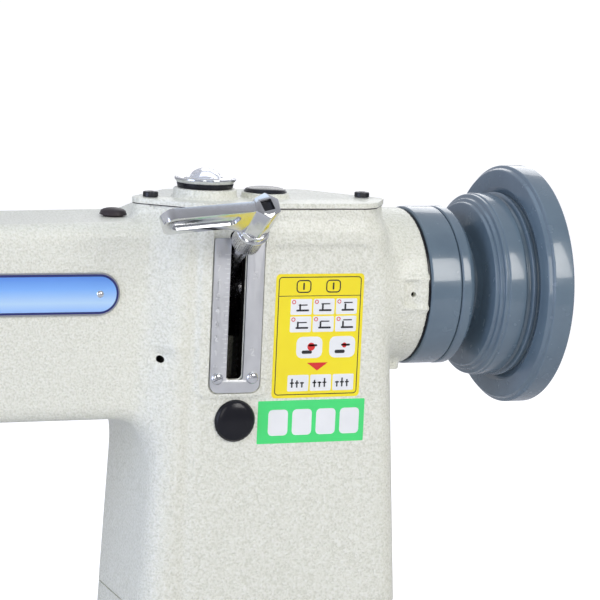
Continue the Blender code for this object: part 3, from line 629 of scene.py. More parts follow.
def arm_hollow(x, y, z):
    """The spaces inside the upper casting."""
    left = -66 + (z - 140) * 11 / 260
    right = 88 - (z - 140) * 18.5 / 260
    depth = slab(y, FRONT_Y + CASTING_WALL, BACK_Y - CASTING_WALL)
    pillar = round_box(np.maximum(left - x, x - right), depth, 6)
    wall = slab(y, ARM_FRONT + CASTING_WALL, ARM_BACK - CASTING_WALL)
    dial = np.hypot(x - PRESSER_X, y)
    spaces = [round_box(pillar, slab(z, 100, 391), 6),
              np.maximum(round_box(wall, slab(z, 289, 388), 5), slab(x, -249, -66)),
              np.maximum(round_box(wall, slab(z, 268.5, 385), 4), slab(x, -370, -262)),
              np.maximum(round_box(slab(x, -315, -289), slab(y, -14, 28), 3), slab(z, 250, 280)),
              np.maximum(dial - 5.2, slab(z, 250, 280)),
              np.maximum(dial - 8.6, slab(z, 380, 410)),
              np.maximum(np.maximum(slab(x, -52, 58), slab(y, -38, 14)), slab(z, 380, 420)),
              np.maximum(np.maximum(slab(x, -34, 54), slab(z, 192, 316)), slab(y, 40, 60)),
              np.maximum(np.hypot(x + 110, z - 303) - 4.4, slab(y, 25, 45)),
              np.maximum(np.hypot(x + 318, z - 300) - 4.4, slab(y, 25, 45)),
              np.maximum(np.hypot(x - TENSION_X, z - TENSION_Z) - 3.4, slab(y, -50, -30))]
    for radius, low, high in ((38, 60, 86), (14.3, 80, 120), (13.3, -270, -240), (12.3, -75, -45)):
        spaces.append(cylinder_x(x, y, z, SHAFT_Z, radius, low, high))
    hollow = spaces[0]
    for space in spaces[1:]:
        hollow = np.minimum(hollow, space)
    return hollow


def arm_field(x, y, z):
    solid = np.maximum(arm_outer(x, y, z), -arm_hollow(x, y, z))
    return np.maximum(solid, FOOT_TOP + 0.3 - z)


def bed_field(x, y, z):
    """The base, the pillar's foot and the cylinder arm, blended and hollow."""
    base = round_box(slab(x, -190, 112), slab(y, -88, 88), 22)
    base = round_box(base, slab(z, 0, 20), 3)
    left = -79 + (z + 10) * 8 / 195
    right = 99 - (z + 10) * 7.7 / 195
    foot = round_box(np.maximum(left - x, x - right), slab(y, FRONT_Y, BACK_Y), 13)
    foot = np.maximum(foot, slab(z, 2, FOOT_TOP))
    tube = cylinder_x(x, y, z, BED_Z, 46, -341, -50, 1.5)
    body = round_union(foot, np.maximum(tube, z - BED_TOP), 12)
    body = round_union(body, base, 9)
    left_in = -64 + (z - 26) * 2 / 154
    right_in = 88 - (z - 26) * 3 / 154
    depth = slab(y, FRONT_Y + CASTING_WALL, BACK_Y - CASTING_WALL)
    hollow = np.maximum(np.maximum(depth, np.maximum(left_in - x, x - right_in)), 26 - z)
    for radius, height, low, high in ((36, BED_Z, -360, -280), (36, BED_Z, -262, -71),
                                      (10.3, BED_Z, -290, -250), (7, BED_Z, -80, -50),
                                      (4.6, ROCK_Z, -290, -50), (6.5, BED_Z, 80, 120)):
        hollow = np.minimum(hollow, cylinder_x(x, y, z, height, radius, low, high, 0.3))
    body = np.maximum(body, -hollow)
    return np.maximum(body, slab(z, 0, FOOT_TOP))


def make_arm_casting():
    cell = 1.7
    body = surface_net(arm_field, (-358, -60, FOOT_TOP - 6), (110, 54, 412), cell)
    cutters = [prism(rounded(box_corners(-27, -16.9, 306.8, 394, 3)), -60, -40, "XZ"),
               lathe([(0, 14), (2.1, 14), (2.1, 0), (0, 0)], (-65, -36.5, 318.4), OUT, 20),
               lathe([(0, 12), (1.6, 12), (1.6, 0), (0, 0)], (93.8, -42, 354.4), OUT, 20),
               prism(rounded(box_corners(-323, -314, 303, 372, 3)), -50, -30, "XZ")]
    channel = prism(rounded([(-37.8, 298.2, 5.5), (-5.2, 298.2, 5.5), (-5.2, 402, 4), (-37.8, 402, 4)]),
                    -62, -51.8, "XZ")
    body = combine(body, [merged(cutters)])
    body = combine(body, [channel])
    finish_piece(body, "arm_casting_shell", CREAM, replaces=["arm_casting"], smooth=42)
    # Painted shade on the inner faces of the hollow casting.
    darken_inside(body, arm_outer, 3.0)


def darken_inside(obj, outer, depth):
    """Near-black painted shade, as a dark metal, on the faces that lie deeper than the wall's outer part."""
    obj.data.materials.append(INTERIOR_SHADE)
    centres = np.empty(len(obj.data.polygons) * 3)
    obj.data.polygons.foreach_get("center", centres)
    centres = centres.reshape(-1, 3) / MM
    inside = outer(centres[:, 0], centres[:, 1], centres[:, 2]) < -depth
    index = np.zeros(len(inside), dtype=np.int32)
    index[inside] = 1
    obj.data.polygons.foreach_set("material_index", index)


def make_bed_casting():
    cell = 2.2
    body = surface_net(bed_field, (-350, -96, -6), (120, 96, FOOT_TOP + 6), cell)
    cutters = [prism(rounded(box_corners(-324.3, -277.7, -16, 16, 2)), 144.7, 160, "XY"),
               prism(rounded(box_corners(-309, -291, -13, 13, 3)), 130, 147, "XY")]
    for x, y in ((-168, -66), (-168, 66), (90, -72), (90, 72)):
        cutters.append(lathe([(0, 40), (5.5, 40), (5.5, -10), (0, -10)], (x, y, 0), steps=28))
        cutters.append(lathe([(0, 10), (9.5, 10), (9.5, -1.5), (0, -1.5)], (x, y, 20), steps=36))
    body = combine(body, cutters[:2])
    body = combine(body, [merged(cutters[2::2])])
    body = combine(body, [merged(cutters[3::2])])
    return finish_piece(body, "bed_casting_shell", CREAM, replaces=["bed_casting"],
                        smooth=42)


# ---- small reusable parts

def turned_piece(name, profile, at, axis, mat, steps=72, fillets=4, **keys):
    return finish_piece(lathe(soft_profile(profile, fillets), at, axis, steps), name, mat, **keys)


def cap_screw(name, at, axis, radius, height, socket, mat=None, **keys):
    """A socket cap screw: plain round head, chamfered rim and a hexagonal socket."""
    profile = [(0, height, 0), (radius, height, radius * 0.16), (radius, 0.4, 0), (0, 0.4, 0)]
    head = lathe(soft_profile(profile), at, axis, 48)
    hexagon = lathe([(0, height + 2), (socket, height + 2), (socket, height * 0.35), (0, height * 0.2)],
                    at, axis, 6)
    return finish_piece(combine(head, [hexagon]), name, mat or BLACK_OXIDE, **keys)


def slotted_screw(name, at, axis, radius, height, mat=None, turn=20.0, domed=1.0, **keys):
    """A slotted pan head with a domed top."""
    profile = [(0, height), (radius * 0.45, height * (1 - 0.06 * domed)),
               (radius * 0.75, height * (1 - 0.22 * domed)), (radius * 0.93, height * (1 - 0.5 * domed)),
               (radius, height * 0.3), (radius, 0), (0, 0)]
    head = lathe(profile, at, axis, 40)
    slot = prism(box_corners(-radius * 1.3, radius * 1.3, -radius * 0.11, radius * 0.11),
                 height * 0.55, height + 2,
                 frame_matrix=axis_matrix(at, axis) @ Matrix.Rotation(math.radians(turn), 4, "Z"))
    return finish_piece(combine(head, [slot]), name, mat or STEEL, **keys)


def knurled(profile, at, axis, teeth, depth):
    """A turned part whose widest stretch carries straight knurls."""
    return lathe(profile, at, axis, teeth * 4, depth)


STROKES = {"0": [[(0, 0.2), (0, 0.8), (0.3, 1), (0.6, 0.8), (0.6, 0.2), (0.3, 0), (0, 0.2)]],
           "1": [[(0.1, 0.8), (0.35, 1), (0.35, 0)]],
           "2": [[(0, 0.8), (0.3, 1), (0.6, 0.75), (0, 0), (0.62, 0)]],
           "3": [[(0, 0.9), (0.35, 1), (0.6, 0.75), (0.25, 0.52), (0.6, 0.28), (0.35, 0), (0, 0.1)]],
           "4": [[(0.5, 0), (0.5, 1), (0, 0.3), (0.68, 0.3)]],
           "5": [[(0.58, 1), (0.08, 1), (0.05, 0.58), (0.4, 0.6), (0.6, 0.3), (0.35, 0), (0, 0.1)]],
           "6": [[(0.55, 0.95), (0.15, 0.7), (0, 0.3), (0.3, 0), (0.6, 0.25), (0.32, 0.52), (0.03, 0.35)]],
           "7": [[(0, 1), (0.6, 1), (0.22, 0)]],
           "8": [[(0.3, 0.54), (0.05, 0.78), (0.3, 1), (0.55, 0.78), (0.3, 0.54), (0, 0.26), (0.3, 0),
                  (0.6, 0.26), (0.3, 0.54)]]}


def numeral(digit, u, v, height, width, y, depth=0.3):
    """A digit as strokes of square wire on the XZ plane, with v at its foot."""
    bars = []
    for stroke in STROKES[digit]:
        for (a, b), (c, d) in zip(stroke, stroke[1:]):
            start = Vector((u + a * height, v + b * height))
            end = Vector((u + c * height, v + d * height))
            side = (end - start).normalized() * width / 2
            across = Vector((-side.y, side.x))
            corners = [start - side - across, end + side - across, end + side + across,
                       start - side + across]
            bars.append(prism([tuple(p) for p in corners], y - depth, y, "XZ"))
    return bars


# ---- cover and its fittings


def make_cover():
    oil = (OIL_X, FITTING_Y, 0)
    plug = (PLUG_X, FITTING_Y, 0)
    plate = prism(rounded(COVER_OUTLINE, 8), SEAM_Z, COVER_TOP, "XY", 1.3, 3)
    bosses = [lathe(soft_profile([(0, 415.6, 0), (18.6, 415.6, 1.2), (18.9, 411.4, 0.8), (20.4, 409.6, 0),
                                  (20.4, 408.0, 0), (0, 408.0, 0)]), oil),
              lathe(soft_profile([(0, 413.2, 0), (14, 413.2, 0.9), (14.2, 411.0, 0.6), (15.4, 409.6, 0),
                                  (15.4, 408.0, 0), (0, 408.0, 0)]), plug)]
    cover = combine(plate, bosses, "UNION")
    wells = [lathe([(0, 430), (9.9, 430), (9.9, 400), (0, 400)], oil),
             lathe([(0, 430), (7, 430), (7, 400), (0, 400)], plug)]
    cover = combine(cover, [merged(wells)])
    finish_piece(cover, "top_cover_plate", CREAM, replaces=["top_cover"], smooth=35)
    gasket = prism(rounded(grown(COVER_OUTLINE, -0.5), 8), SEAM_Z - 0.6, SEAM_Z + 0.1, "XY")
    finish_piece(gasket, "cover_gasket", BROWN_RUBBER, smooth=35)
    for side, x in (("left", -66.0), ("right", 68.0)):
        cap_screw(f"cover_cap_screw_{side}", (x, FITTING_Y, COVER_TOP), UP, 4.5, 3.4, 2.2)
    turned_piece("oil_sight_seal", [(10, 418.9, 0.3), (17.0, 418.9, 0.5), (16.2, 415.7, 0.6), (10, 415.7, 0)],
                 oil, UP, RUBBER, replaces=["oil_sight_gasket"])
    turned_piece("oil_sight_bezel",
                 [(9.9, 421.4, 0), (11.2, 421.9, 0.6), (13.2, 420.9, 0.9), (16.0, 421.6, 0.8),
                  (18.2, 421.9, 0.5), (18.1, 420.6, 0.5), (16.8, 418.8, 0.3), (9.9, 418.8, 0)],
                 oil, UP, CHROME, replaces=["oil_sight_ring"])
    outer = [(9.7 * math.sin(a), 420.2 + 7.2 * math.cos(a)) for a in np.linspace(0, math.pi / 2, 14)]
    inner = [(8.2 * math.sin(a), 419.4 + 6.0 * math.cos(a)) for a in np.linspace(math.pi / 2, 0, 12)]
    outer[0] = (0.0, 427.4)
    inner[-1] = (0.0, inner[-1][1])
    finish_piece(lathe(outer + [(9.7, 419.0), (8.2, 419.0)] + inner, oil, steps=56),
                 "oil_sight_dome", GLASS, replaces=["oil_sight_glass"], smooth=50)
    turned_piece("oil_sight_cup", [(0, 419.9, 0), (9.3, 419.9, 0.5), (9.3, 416, 0), (0, 416, 0)],
                 oil, UP, WHITE, slot="glass")
    rubber_cap("cover_filler_plug", (PLUG_X, FITTING_Y, 413.4), UP, 12.8, 3.0, RUBBER, "cover_plug")
    rubber_cap("arm_filler_plug", (-83.7, -5, 398.0), UP, 8.0, 4.1, BROWN_RUBBER, "arm_top_plug")
    rubber_cap("front_access_plug", (-20, -52.2, 282), OUT, 12.5, 4.2, RUBBER, "front_plug")


def rubber_cap(name, at, axis, radius, height, mat, node):
    """A domed press-in cap with a thin flared lip."""
    profile = [(0, height)]
    for k in range(1, 9):
        angle = k / 8 * math.pi / 2
        profile.append((radius * 0.96 * math.sin(angle), height * (0.28 + 0.72 * math.cos(angle) ** 0.8)
                        if k < 8 else height * 0.28))
    profile += [(radius, height * 0.18), (radius, 0.0), (radius * 0.8, -0.2), (radius * 0.55, -4), (0, -4)]
    finish_piece(lathe(profile, at, axis, 56), name, mat, replaces=[node], smooth=50)


# ---- stitch plate, badge and stickers

def make_stitch_plate():
    outline = rounded([(-37, 299, 5.5), (-6, 299, 5.5), (-6, 390, 1), (-16.5, 390, 0.6), (-16.5, 306.5, 2.0),
                       (-27, 306.5, 2.0), (-27, 390, 0.6), (-37, 390, 1)], 5)
    plate = prism(outline, -54.2, -51.9, "XZ", 0.8, 3)
    ticks = []
    for k in range(25):
        reach = 1.7 if k % 3 else 3.0
        z = 314.5 + k * 2.75
        ticks.append(prism(box_corners(-27.6 - reach, -27.6, z - 0.28, z + 0.28), -54.35, -54.1, "XZ"))
    finish_piece(merged(ticks), "stitch_plate_ticks", WHITE_STEEL, smooth=0)
    finish_piece(plate, "stitch_regulator_plate", SATIN, replaces=["stitch_plate"],
                 smooth=35)
    marks = []
    for k in range(9):
        marks += numeral(str(k), -35.0, 313.4 + k * 8.25, 3.0, 0.55, -54.12, 0.2)
    marks += numeral("5", -12.6, 366.0, 4.2, 0.6, -54.12, 0.2)
    marks += numeral("2", -12.6, 321.0, 4.2, 0.6, -54.12, 0.2)
    finish_piece(merged(marks), "stitch_plate_numerals", WHITE_STEEL, smooth=0)
    for side, x, turn in (("left", -32.6, 25.0), ("right", -10.8, -35.0)):
        slotted_screw(f"stitch_plate_screw_{side}", (x, -54.1, 307.6), OUT, 3.6, 2.2, turn=turn, mat=CHROME)


BADGE = (-240.0, -89.5, 344.0, 369.0)


def make_badge():
    u0, u1, v0, v1 = BADGE
    layers = (("badge_backing", 0.0, 0.3, 1.35, CHROME),
              ("badge_dark_border", 1.0, 1.2, 1.55, sticker("dark_blue_enamel", (0.012, 0.02, 0.16), 0.4)),
              ("badge_blue_field", 2.3, 1.4, 1.75, BLUE))
    for name, inset, low, high, mat in layers:
        radius = 12.4 - inset
        outline = rounded(box_corners(u0 + inset, u1 - inset, v0 + inset, v1 - inset, radius), 14)
        piece = prism(outline, ARM_FRONT - high, ARM_FRONT - low, "XZ", 0.12, 1)
        finish_piece(piece, name, mat, replaces=["badge_plate"] if low == 0.3 else (), smooth=35)
    for side, x in (("left", -228.0), ("right", -101.5)):
        profile = [(0, 1.0), (0.9, 0.9), (1.7, 0.5), (2.1, 0.0), (0, 0.0)]
        finish_piece(lathe(profile, (x, ARM_FRONT - 1.7, 356.5), OUT, 28), f"badge_rivet_{side}",
                     CHROME, smooth=60)


def printed(name, items, y, mat, depth=0.05):
    """Flat printed shapes on the front: outlines as (points, holes)."""
    solids = [prism(points, y, y + depth, "XZ", holes=holes) for points, holes in items]
    return finish_piece(merged(solids), name, mat, smooth=0)


def frame_shape(u0, u1, v0, v1, width, radius):
    outer = rounded(box_corners(u0, u1, v0, v1, radius), 5)
    inner = rounded(box_corners(u0 + width, u1 - width, v0 + width, v1 - width, max(radius - width, 0.1)), 5)
    return outer, [inner]


def box_shape(u0, u1, v0, v1, radius=0.0):
    return rounded(box_corners(u0, u1, v0, v1, radius), 3), []


def make_stickers():
    """Plain coloured stickers with blank white panels and simple abstract marks."""
    base = FRONT_Y - 0.12
    yellow = prism(rounded(box_corners(2.5, 58.5, 294.5, 368.5, 2.5), 5), base, FRONT_Y + 0.2, "XZ")
    finish_piece(yellow, "yellow_sticker", YELLOW, smooth=0)
    green = prism(rounded(box_corners(-5.5, 62.5, 267.3, 293.0, 0.6), 3), base, FRONT_Y + 0.2, "XZ")
    finish_piece(green, "green_sticker", GREEN, smooth=0)
    lines = [frame_shape(4.2, 56.8, 296.2, 366.8, 0.55, 2.2), box_shape(4.6, 56.4, 355.2, 355.6)]
    panels = []
    inks = []
    reds = []
    for row in range(2):
        for column in range(3):
            u = 12.3 + column * 14.4
            v = 344.2 - row * 10.4
            panels.append(box_shape(u, u + 13.4, v, v + 9.4, 0.8))
            inks.append(box_shape(u + 3.6, u + 11.6, v + 2.0, v + 3.1, 0.5))
            inks.append(box_shape(u + 5.4 - row, u + 6.5 - row, v + 2.8, v + 6.4, 0.5))
            inks.append(box_shape(u + 5.0, u + 10.6, v + 5.4 + 0.6 * column, v + 6.1 + 0.6 * column, 0.3))
            reds.append((circle(u + 2.0, v + 7.6, 1.25, 24), [circle(u + 2.0, v + 7.6, 0.8, 24)]))
    for u in (17.0, 38.0):
        panels.append(box_shape(u, u + 16.5, 318.2, 331.0, 3.5))
        inks.append(box_shape(u + 3.5, u + 10.0, 320.8, 322.8, 0.9))
        inks.append(box_shape(u + 7.5, u + 13.2, 325.2, 326.4, 0.6))
    reds.append((circle(26.4, 325.0, 2.4, 28), []))
    reds.append((circle(47.6, 325.6, 1.5, 28), []))
    reds.append(([(24.2, 315.4), (37.4, 315.4), (30.8, 310.6)], []))
    for column in range(3):
        u = 12.3 + column * 14.4
        panels.append(box_shape(u, u + 13.4, 298.4, 308.2, 0.8))
        for k in range(3):
            inks.append(box_shape(u + 2.4 + 3.2 * k, u + 3.3 + 3.2 * k, 300.6, 306.0 - (k + column) % 3, 0.3))
            inks.append(box_shape(u + 1.6 + 3.2 * k, u + 4.1 + 3.2 * k, 303.0, 303.8, 0.3))
    for u in (15.4, 34.2):
        inks.append(frame_shape(u, u + 9.4, 357.2, 364.9, 0.7, 2.4))
        inks.append(box_shape(u + 4.2, u + 5.2, 359.0, 363.2, 0.4))
    printed("sticker_rules", lines, base - 0.02, INK)
    printed("sticker_panels", panels, base - 0.02, WHITE)
    printed("sticker_marks", inks, base - 0.09, INK)
    printed("sticker_red_marks", reds, base - 0.09, sticker("red_print", (0.75, 0.03, 0.03)))
    bars = []
    for column in range(4):
        u = 1.2 + column * 15.2
        bars.append(box_shape(u, u + 12.4, 272.0, 287.6, 2.5))
    printed("green_sticker_blocks", bars, base - 0.02, WHITE)


# ---- collar and handwheel

def make_collar():
    spin_axis = (1, 0, 0)
    at = (0, 0, SHAFT_Z)
    turned_piece("collar_gasket", [(30, 105.0, 0), (47.2, 105.0, 0.3), (47.2, 103.3, 0.3), (30, 103.3, 0)],
                 at, spin_axis, RUBBER)
    turned_piece("collar_outer_band",
                 [(8, 125.2, 0), (45, 125.2, 0), (48.3, 124.9, 0.5), (48.8, 124.0, 0.4), (48.8, 105.9, 0.8),
                  (48.1, 105.0, 0.3), (30, 105.0, 0), (30, 121, 0), (8, 121, 0)],
                 at, spin_axis, GREY, 128, replaces=["bearing_housing"])
    turned_piece("collar_inner_band",
                 [(20, 137, 0), (38.0, 137, 2.0), (46.4, 134.4, 1.6), (49, 131.4, 1.8), (49, 126.3, 0.6),
                  (48.3, 125.5, 0.3), (20, 125.5, 0)],
                 at, spin_axis, GREY, 128, replaces=["housing_cap"])


WHEEL_CORNERS = [(7.8, 186, 0), (20, 186, 0.8), (24, 180.5, 2.2), (60, 180, 2.5), (64.5, 185.5, 2.0),
                 (67.5, 188.4, 1.6), (73.3, 188.4, 0.8), (74.5, 187.2, 0.7), (74.5, 174.8, 1.2),
                 (72.6, 174.0, 0.5), (71.6, 171.8, 1.0), (61.0, 171.6, 2.5), (56.0, 173.8, 1.8),
                 (55.4, 171.6, 0.5), (57.6, 171.0, 0.7), (57.7, 169.0, 0.7), (55.0, 168.2, 0.9),
                 (54.0, 166.0, 1.2), (57.0, 164.6, 1.0), (57.0, 154.0, 0.8), (56.2, 153.2, 0.3),
                 (56.5, 151.0, 0.9), (54.0, 150.6, 0.5), (53.4, 148.6, 0.8), (51.6, 148.3, 0.4),
                 (51.0, 146.4, 0.9), (34.5, 145.6, 3.0), (30, 144.0, 1.2), (30, 137.8, 0.4),
                 (7.8, 137.8, 0)]


def make_handwheel():
    at = (0, 0, SHAFT_Z)
    turned_piece("handwheel_rim_and_pulley", WHEEL_CORNERS, at, (1, 0, 0), GREY, 160, 5, body="shaft",
                 replaces=["handwheel"], smooth=42)
    nut = prism(circle(0, 0, 10, 6), 186.3, 190.9, "XY", 0.4, 2,
                frame_matrix=Matrix.Translation((0, 0, SHAFT_Z * MM)) @ Matrix.Rotation(math.pi / 2, 4, "Y"))
    finish_piece(nut, "handwheel_lock_nut", STEEL, "shaft", ["handwheel_nut"])


# ---- stitch lever

TILT = math.radians(38.0)
ALONG = Vector((0, -math.cos(TILT), math.sin(TILT)))
ACROSS = Vector((0, math.sin(TILT), math.cos(TILT)))
ROOT = Vector((-21.6, 0, SHAFT_Z)) - ACROSS * 10.8
SLOT_AT = (-FRONT_Y - 10.8 * math.sin(TILT)) / math.cos(TILT)


def on_lever(distance):
    return ROOT + ALONG * distance


def lever_matrix(distance):
    """Local X along +X, local Y across the rod, local Z along the rod."""
    axes = Matrix((Vector((1, 0, 0)), ACROSS, ALONG)).transposed()
    tip_drop = Matrix.Rotation(math.radians(5.5), 4, "Z")
    return Matrix.Translation(on_lever(distance) * MM) @ axes.to_4x4() @ tip_drop


def make_lever():
    nut_start = SLOT_AT + 12
    grip = knurled([(4.3, 13.8), (8.0, 13.8), (8.7, 13.1), (8.7, 1.6), (7.8, 0.5), (4.3, 0.5)],
                   on_lever(nut_start), ALONG, 42, 0.75)
    finish_piece(grip, "lever_knurled_grip", STEEL, "lever_lock", ["lever_knurled_nut"], smooth=25)
    turned_piece("lever_nut_flange", [(4.3, 16.2, 0), (8.6, 16.2, 0.4), (9.8, 15.2, 0.5),
                                       (9.8, 13.9, 0.4), (4.3, 13.9, 0)],
                 on_lever(nut_start), ALONG, CHROME, 56, body="lever_lock")
    make_handle(nut_start + 16.4)


def make_handle(start):
    """The forged handle: hexagonal hub with a square socket, web and an I-section arm."""
    hub = prism(circle(0, 0, 8.6, 6), 0.2, 26.6, "XY", 0.9, 2,
                frame_matrix=lever_matrix(start) @ Matrix.Rotation(math.radians(24.5), 4, "Z"))
    seat = lathe(soft_profile([(0, 3.4, 0), (8.9, 3.4, 0.8), (8.9, 0.1, 0.5), (0, 0.1, 0)]),
                 on_lever(start), ALONG, 48)
    outline = rounded([(2, 26.0, 0.5), (-59, 26.0, 6.0), (-62.6, 18.0, 7.0), (-58, 8.6, 6.5),
                       (-20, 9.2, 14), (-6, 1.5, 5), (2, 1.5, 0.5)], 8)
    turn = Matrix.Rotation(math.pi / 2, 4, "X")
    bar = prism(outline, -3.4, 3.4, "XY", 1.5, 4, frame_matrix=lever_matrix(start) @ turn)
    body = combine(hub, [seat, bar], "UNION")
    groove = rounded([(-55.5, 22.4, 3.6), (-55.5, 13.2, 3.6), (-17, 13.2, 3.6), (-13.0, 22.4, 3.6)], 8)
    pockets = [prism(groove, low, high, "XY", 1.0, 4, frame_matrix=lever_matrix(start) @ turn)
               for low, high in ((1.7, 9.0), (-9.0, -1.7))]
    body = combine(body, pockets)
    socket = prism(rounded(box_corners(-3.5, 3.5, -3.5, 3.5, 0.5), 3), 20.0, 40.0, "XY",
                   frame_matrix=lever_matrix(start) @ Matrix.Rotation(math.radians(8), 4, "Z"))
    body = combine(body, [socket])
    spindle = prism(rounded(box_corners(-3.3, 3.3, -3.3, 3.3, 0.5), 3), 19.0, 24.6, "XY", 0.4, 2,
                    frame_matrix=lever_matrix(start) @ Matrix.Rotation(math.radians(8), 4, "Z"))
    finish_piece(spindle, "lever_square_end", BLACK_OXIDE, "lever_lock", slot="steel")
    finish_piece(body, "lever_handle_forging", CHROME, "lever_lock", ["lever_handle"], smooth=32)


# ---- head, back and bed details

def make_head():
    x = HEAD_END
    outline = rounded(box_corners(ARM_FRONT + 1, ARM_BACK - 1, 264, 390, 12), 10)
    plate = prism(outline, x - 3.2, x - 0.3, "YZ", 1.0, 3)
    panel = prism(rounded(box_corners(ARM_FRONT + 11, ARM_BACK - 11, 292, 362, 6), 6), x - 9, x - 2.6, "YZ")
    finish_piece(combine(plate, [panel]), "face_plate_cover", CREAM, replaces=["face_plate"], smooth=35)
    for name, y, z in (("front", -27, 375), ("rear", 25, 277), ("upper", 25, 375), ("lower", -27, 277)):
        slotted_screw(f"face_plate_screw_{name}", (x - 3.1, y, z), (-1, 0, 0), 4.2, 1.3, turn=y)
    for name, u, v in (("left_top", -34, 318), ("right_top", 54, 318), ("left_bottom", -34, 190),
                       ("right_bottom", 54, 190)):
        slotted_screw(f"rear_cover_screw_{name}", (u, 51.9, v), BACK, 4.0, 2.2, turn=u)
    rear = prism(rounded(box_corners(-44, 64, 182, 326, 10), 8), 48.3, 52, "XZ", 1.0, 3)
    finish_piece(rear, "rear_access_cover", CREAM, replaces=["rear_cover"], smooth=35)


def make_tension():
    at = (TENSION_X, ARM_FRONT, TENSION_Z)
    turned_piece("tension_post_threaded", [(0, 36, 0), (2.4, 36, 0.5), (3, 35, 0), (3, 0, 0), (3, -8, 0),
                                           (0, -8, 0)], at, OUT, STEEL, 32, replaces=["tension_post"])
    disc = [(3.3, 2.6), (10.5, 2.6), (13, 1.0), (13, 0.2), (10.4, 1.9), (3.3, 1.9)]
    for name, y, axis, stands_for in (("front", ARM_FRONT - 6, OUT, ["tension_disc_outer"]),
                                      ("back", ARM_FRONT - 5.6, BACK, ())):
        finish_piece(lathe(disc, (TENSION_X, y, TENSION_Z), axis, 64), f"tension_disc_{name}", CHROME,
                     replaces=stands_for, smooth=50)
    turned_piece("tension_base_washer", [(3.3, 2.2, 0.3), (9, 2.2, 0.8), (10, 0, 0.2), (3.3, 0, 0)], at, OUT,
                 STEEL)
    coil = []
    turns = 4.5
    for k in range(int(turns * 20) + 1):
        part = k / (turns * 20)
        angle = 2 * math.pi * turns * part
        radius = 8.2 - 3.4 * part
        coil.append((TENSION_X + radius * math.cos(angle), ARM_FRONT - 9.4 - 15 * part,
                     TENSION_Z + radius * math.sin(angle)))
    finish_piece(tube_along(coil, 0.6), "tension_spring", STEEL, smooth=60)
    knob = knurled([(3.3, 9), (6.8, 9), (8, 7.9), (8, 1.4), (7, 0.2), (3.3, 0.2)],
                   (TENSION_X, ARM_FRONT - 25.2, TENSION_Z), OUT, 34, 0.5)
    finish_piece(knob, "tension_nut_knob", BLACK_OXIDE, "tension_dial", ["tension_nut"], smooth=25)
    check_spring = [(TENSION_X + 15 * math.cos(a), ARM_FRONT - 2.5, TENSION_Z + 15 * math.sin(a))
                    for a in np.linspace(-0.6, 2.9, 26)]
    finish_piece(tube_along(check_spring, 0.5), "thread_check_spring", STEEL, smooth=60)


def make_thread_guides():
    """Bent-wire thread guides on the front of the arm and a pin on top."""
    for name, x, z in (("upper", -296, 384), ("lower", -296, 318)):
        bends = ((-12, 1, 0), (-12, -5, 0), (-9, -8, 0), (-4, -8.5, 0.6), (1, -8, 1.2), (3, -5, 1.4),
                 (1, -3, 1.6), (-5, -3, 2))
        loop = [(x + dx, ARM_FRONT + dy, z + dz) for dx, dy, dz in bends]
        finish_piece(tube_along(smooth(loop, 6), 1.0), f"thread_guide_{name}", CHROME, smooth=60)
    pin = [(0, 26, 0), (2.4, 26, 1.2), (2.4, 4, 0.4), (5.5, 2.6, 0.8), (5.5, -1, 0), OUT]
    turned_piece("thread_pin", pin, (-205, -4, 394.9), UP, STEEL)
    cross = [(0, 6), (1.9, 6), (1.9, -6), (0, -6)]
    finish_piece(lathe(cross, (-205, -4, 414), BACK, 24), "thread_pin_eyelet", STEEL)


def smooth(points, steps):
    """A Catmull-Rom curve through the points."""
    ends = [points[0], *points, points[-1]]
    out = []
    for i in range(1, len(ends) - 2):
        a, b, c, d = (Vector(ends[i + k]) for k in (-1, 0, 1, 2))
        for step in range(steps):
            t = step / steps
            out.append(0.5 * (2 * b + (c - a) * t + (2 * a - 5 * b + 4 * c - d) * t * t
                              + (3 * b - a - 3 * c + d) * t ** 3))
    out.append(Vector(points[-1]))
    return out


def make_bars():
    """Round bars, screws and springs below and inside the head."""
    turned_piece("presser_bar_round", [(0, 384, 0), (4.5, 384, 0.8), (4.5, 324, 0), (7.6, 324, 0.6),
                                       (7.6, 318, 0.6), (4.5, 318, 0), (4.5, 226, 0.6), (0, 226, 0)],
                 (PRESSER_X, 0, 0), UP, STEEL, 40, body="presser", replaces=["presser_bar"])
    turned_piece("presser_bar_bush", [(4.8, 276, 0.3), (7.2, 276, 0), (7.2, 261, 0.5), (4.8, 261, 0.3)],
                 (PRESSER_X, 0, 0), UP, BRONZE, 40)
    turned_piece("needle_bar_round", [(0, 383, 0), (4, 383, 0.8), (4, 205, 0.8), (0, 205, 0)],
                 (NEEDLE_X, 0, 0), UP, STEEL, 40, body="needle_bar")
    slotted_screw("needle_clamp_screw", (-296.2, 0, 210), (1, 0, 0), 2.2, 3.2, body="needle_bar")
    dial = knurled([(0.01, 421), (7.5, 421), (9, 419.6), (9, 404.6), (8, 403), (8, 387.7), (5.2, 387.7),
                    (5.2, 414), (0.01, 414)],
                   (PRESSER_X, 0, 0), UP, 40, 0.5)
    finish_piece(dial, "presser_adjusting_knob", BLACK_OXIDE, "presser_dial", ["presser_adjusting_screw"],
                 smooth=25)
    for name, x, y in (("left", -320.5, 11.5), ("right", -281.5, -11.5)):
        slotted_screw(f"needle_plate_screw_{name}", (x, y, 147.6), UP, 2.4, 0.6, CHROME, 40, 0.2,
                      slot="steel")
    coil = [Vector((PRESSER_X + 6.6 * math.cos(k * math.pi / 10), 6.6 * math.sin(k * math.pi / 10),
                    325.3 + 61.1 * k / 120)) for k in range(121)]
    spring = merged([tube_along(coil, 0.8, "coil", 3)])
    finish_piece(spring, "presser_spring_coil", STEEL, replaces=["presser_spring"], smooth=60)
    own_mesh(spring)
    ring = [(8.3, 402.6, 0.4), (10.6, 402.6, 0.6), (10.6, 390, 0), (8.3, 390, 0)]
    turned_piece("presser_dial_collar", ring, (PRESSER_X, 0, 0), UP, CAST_STEEL, 48)


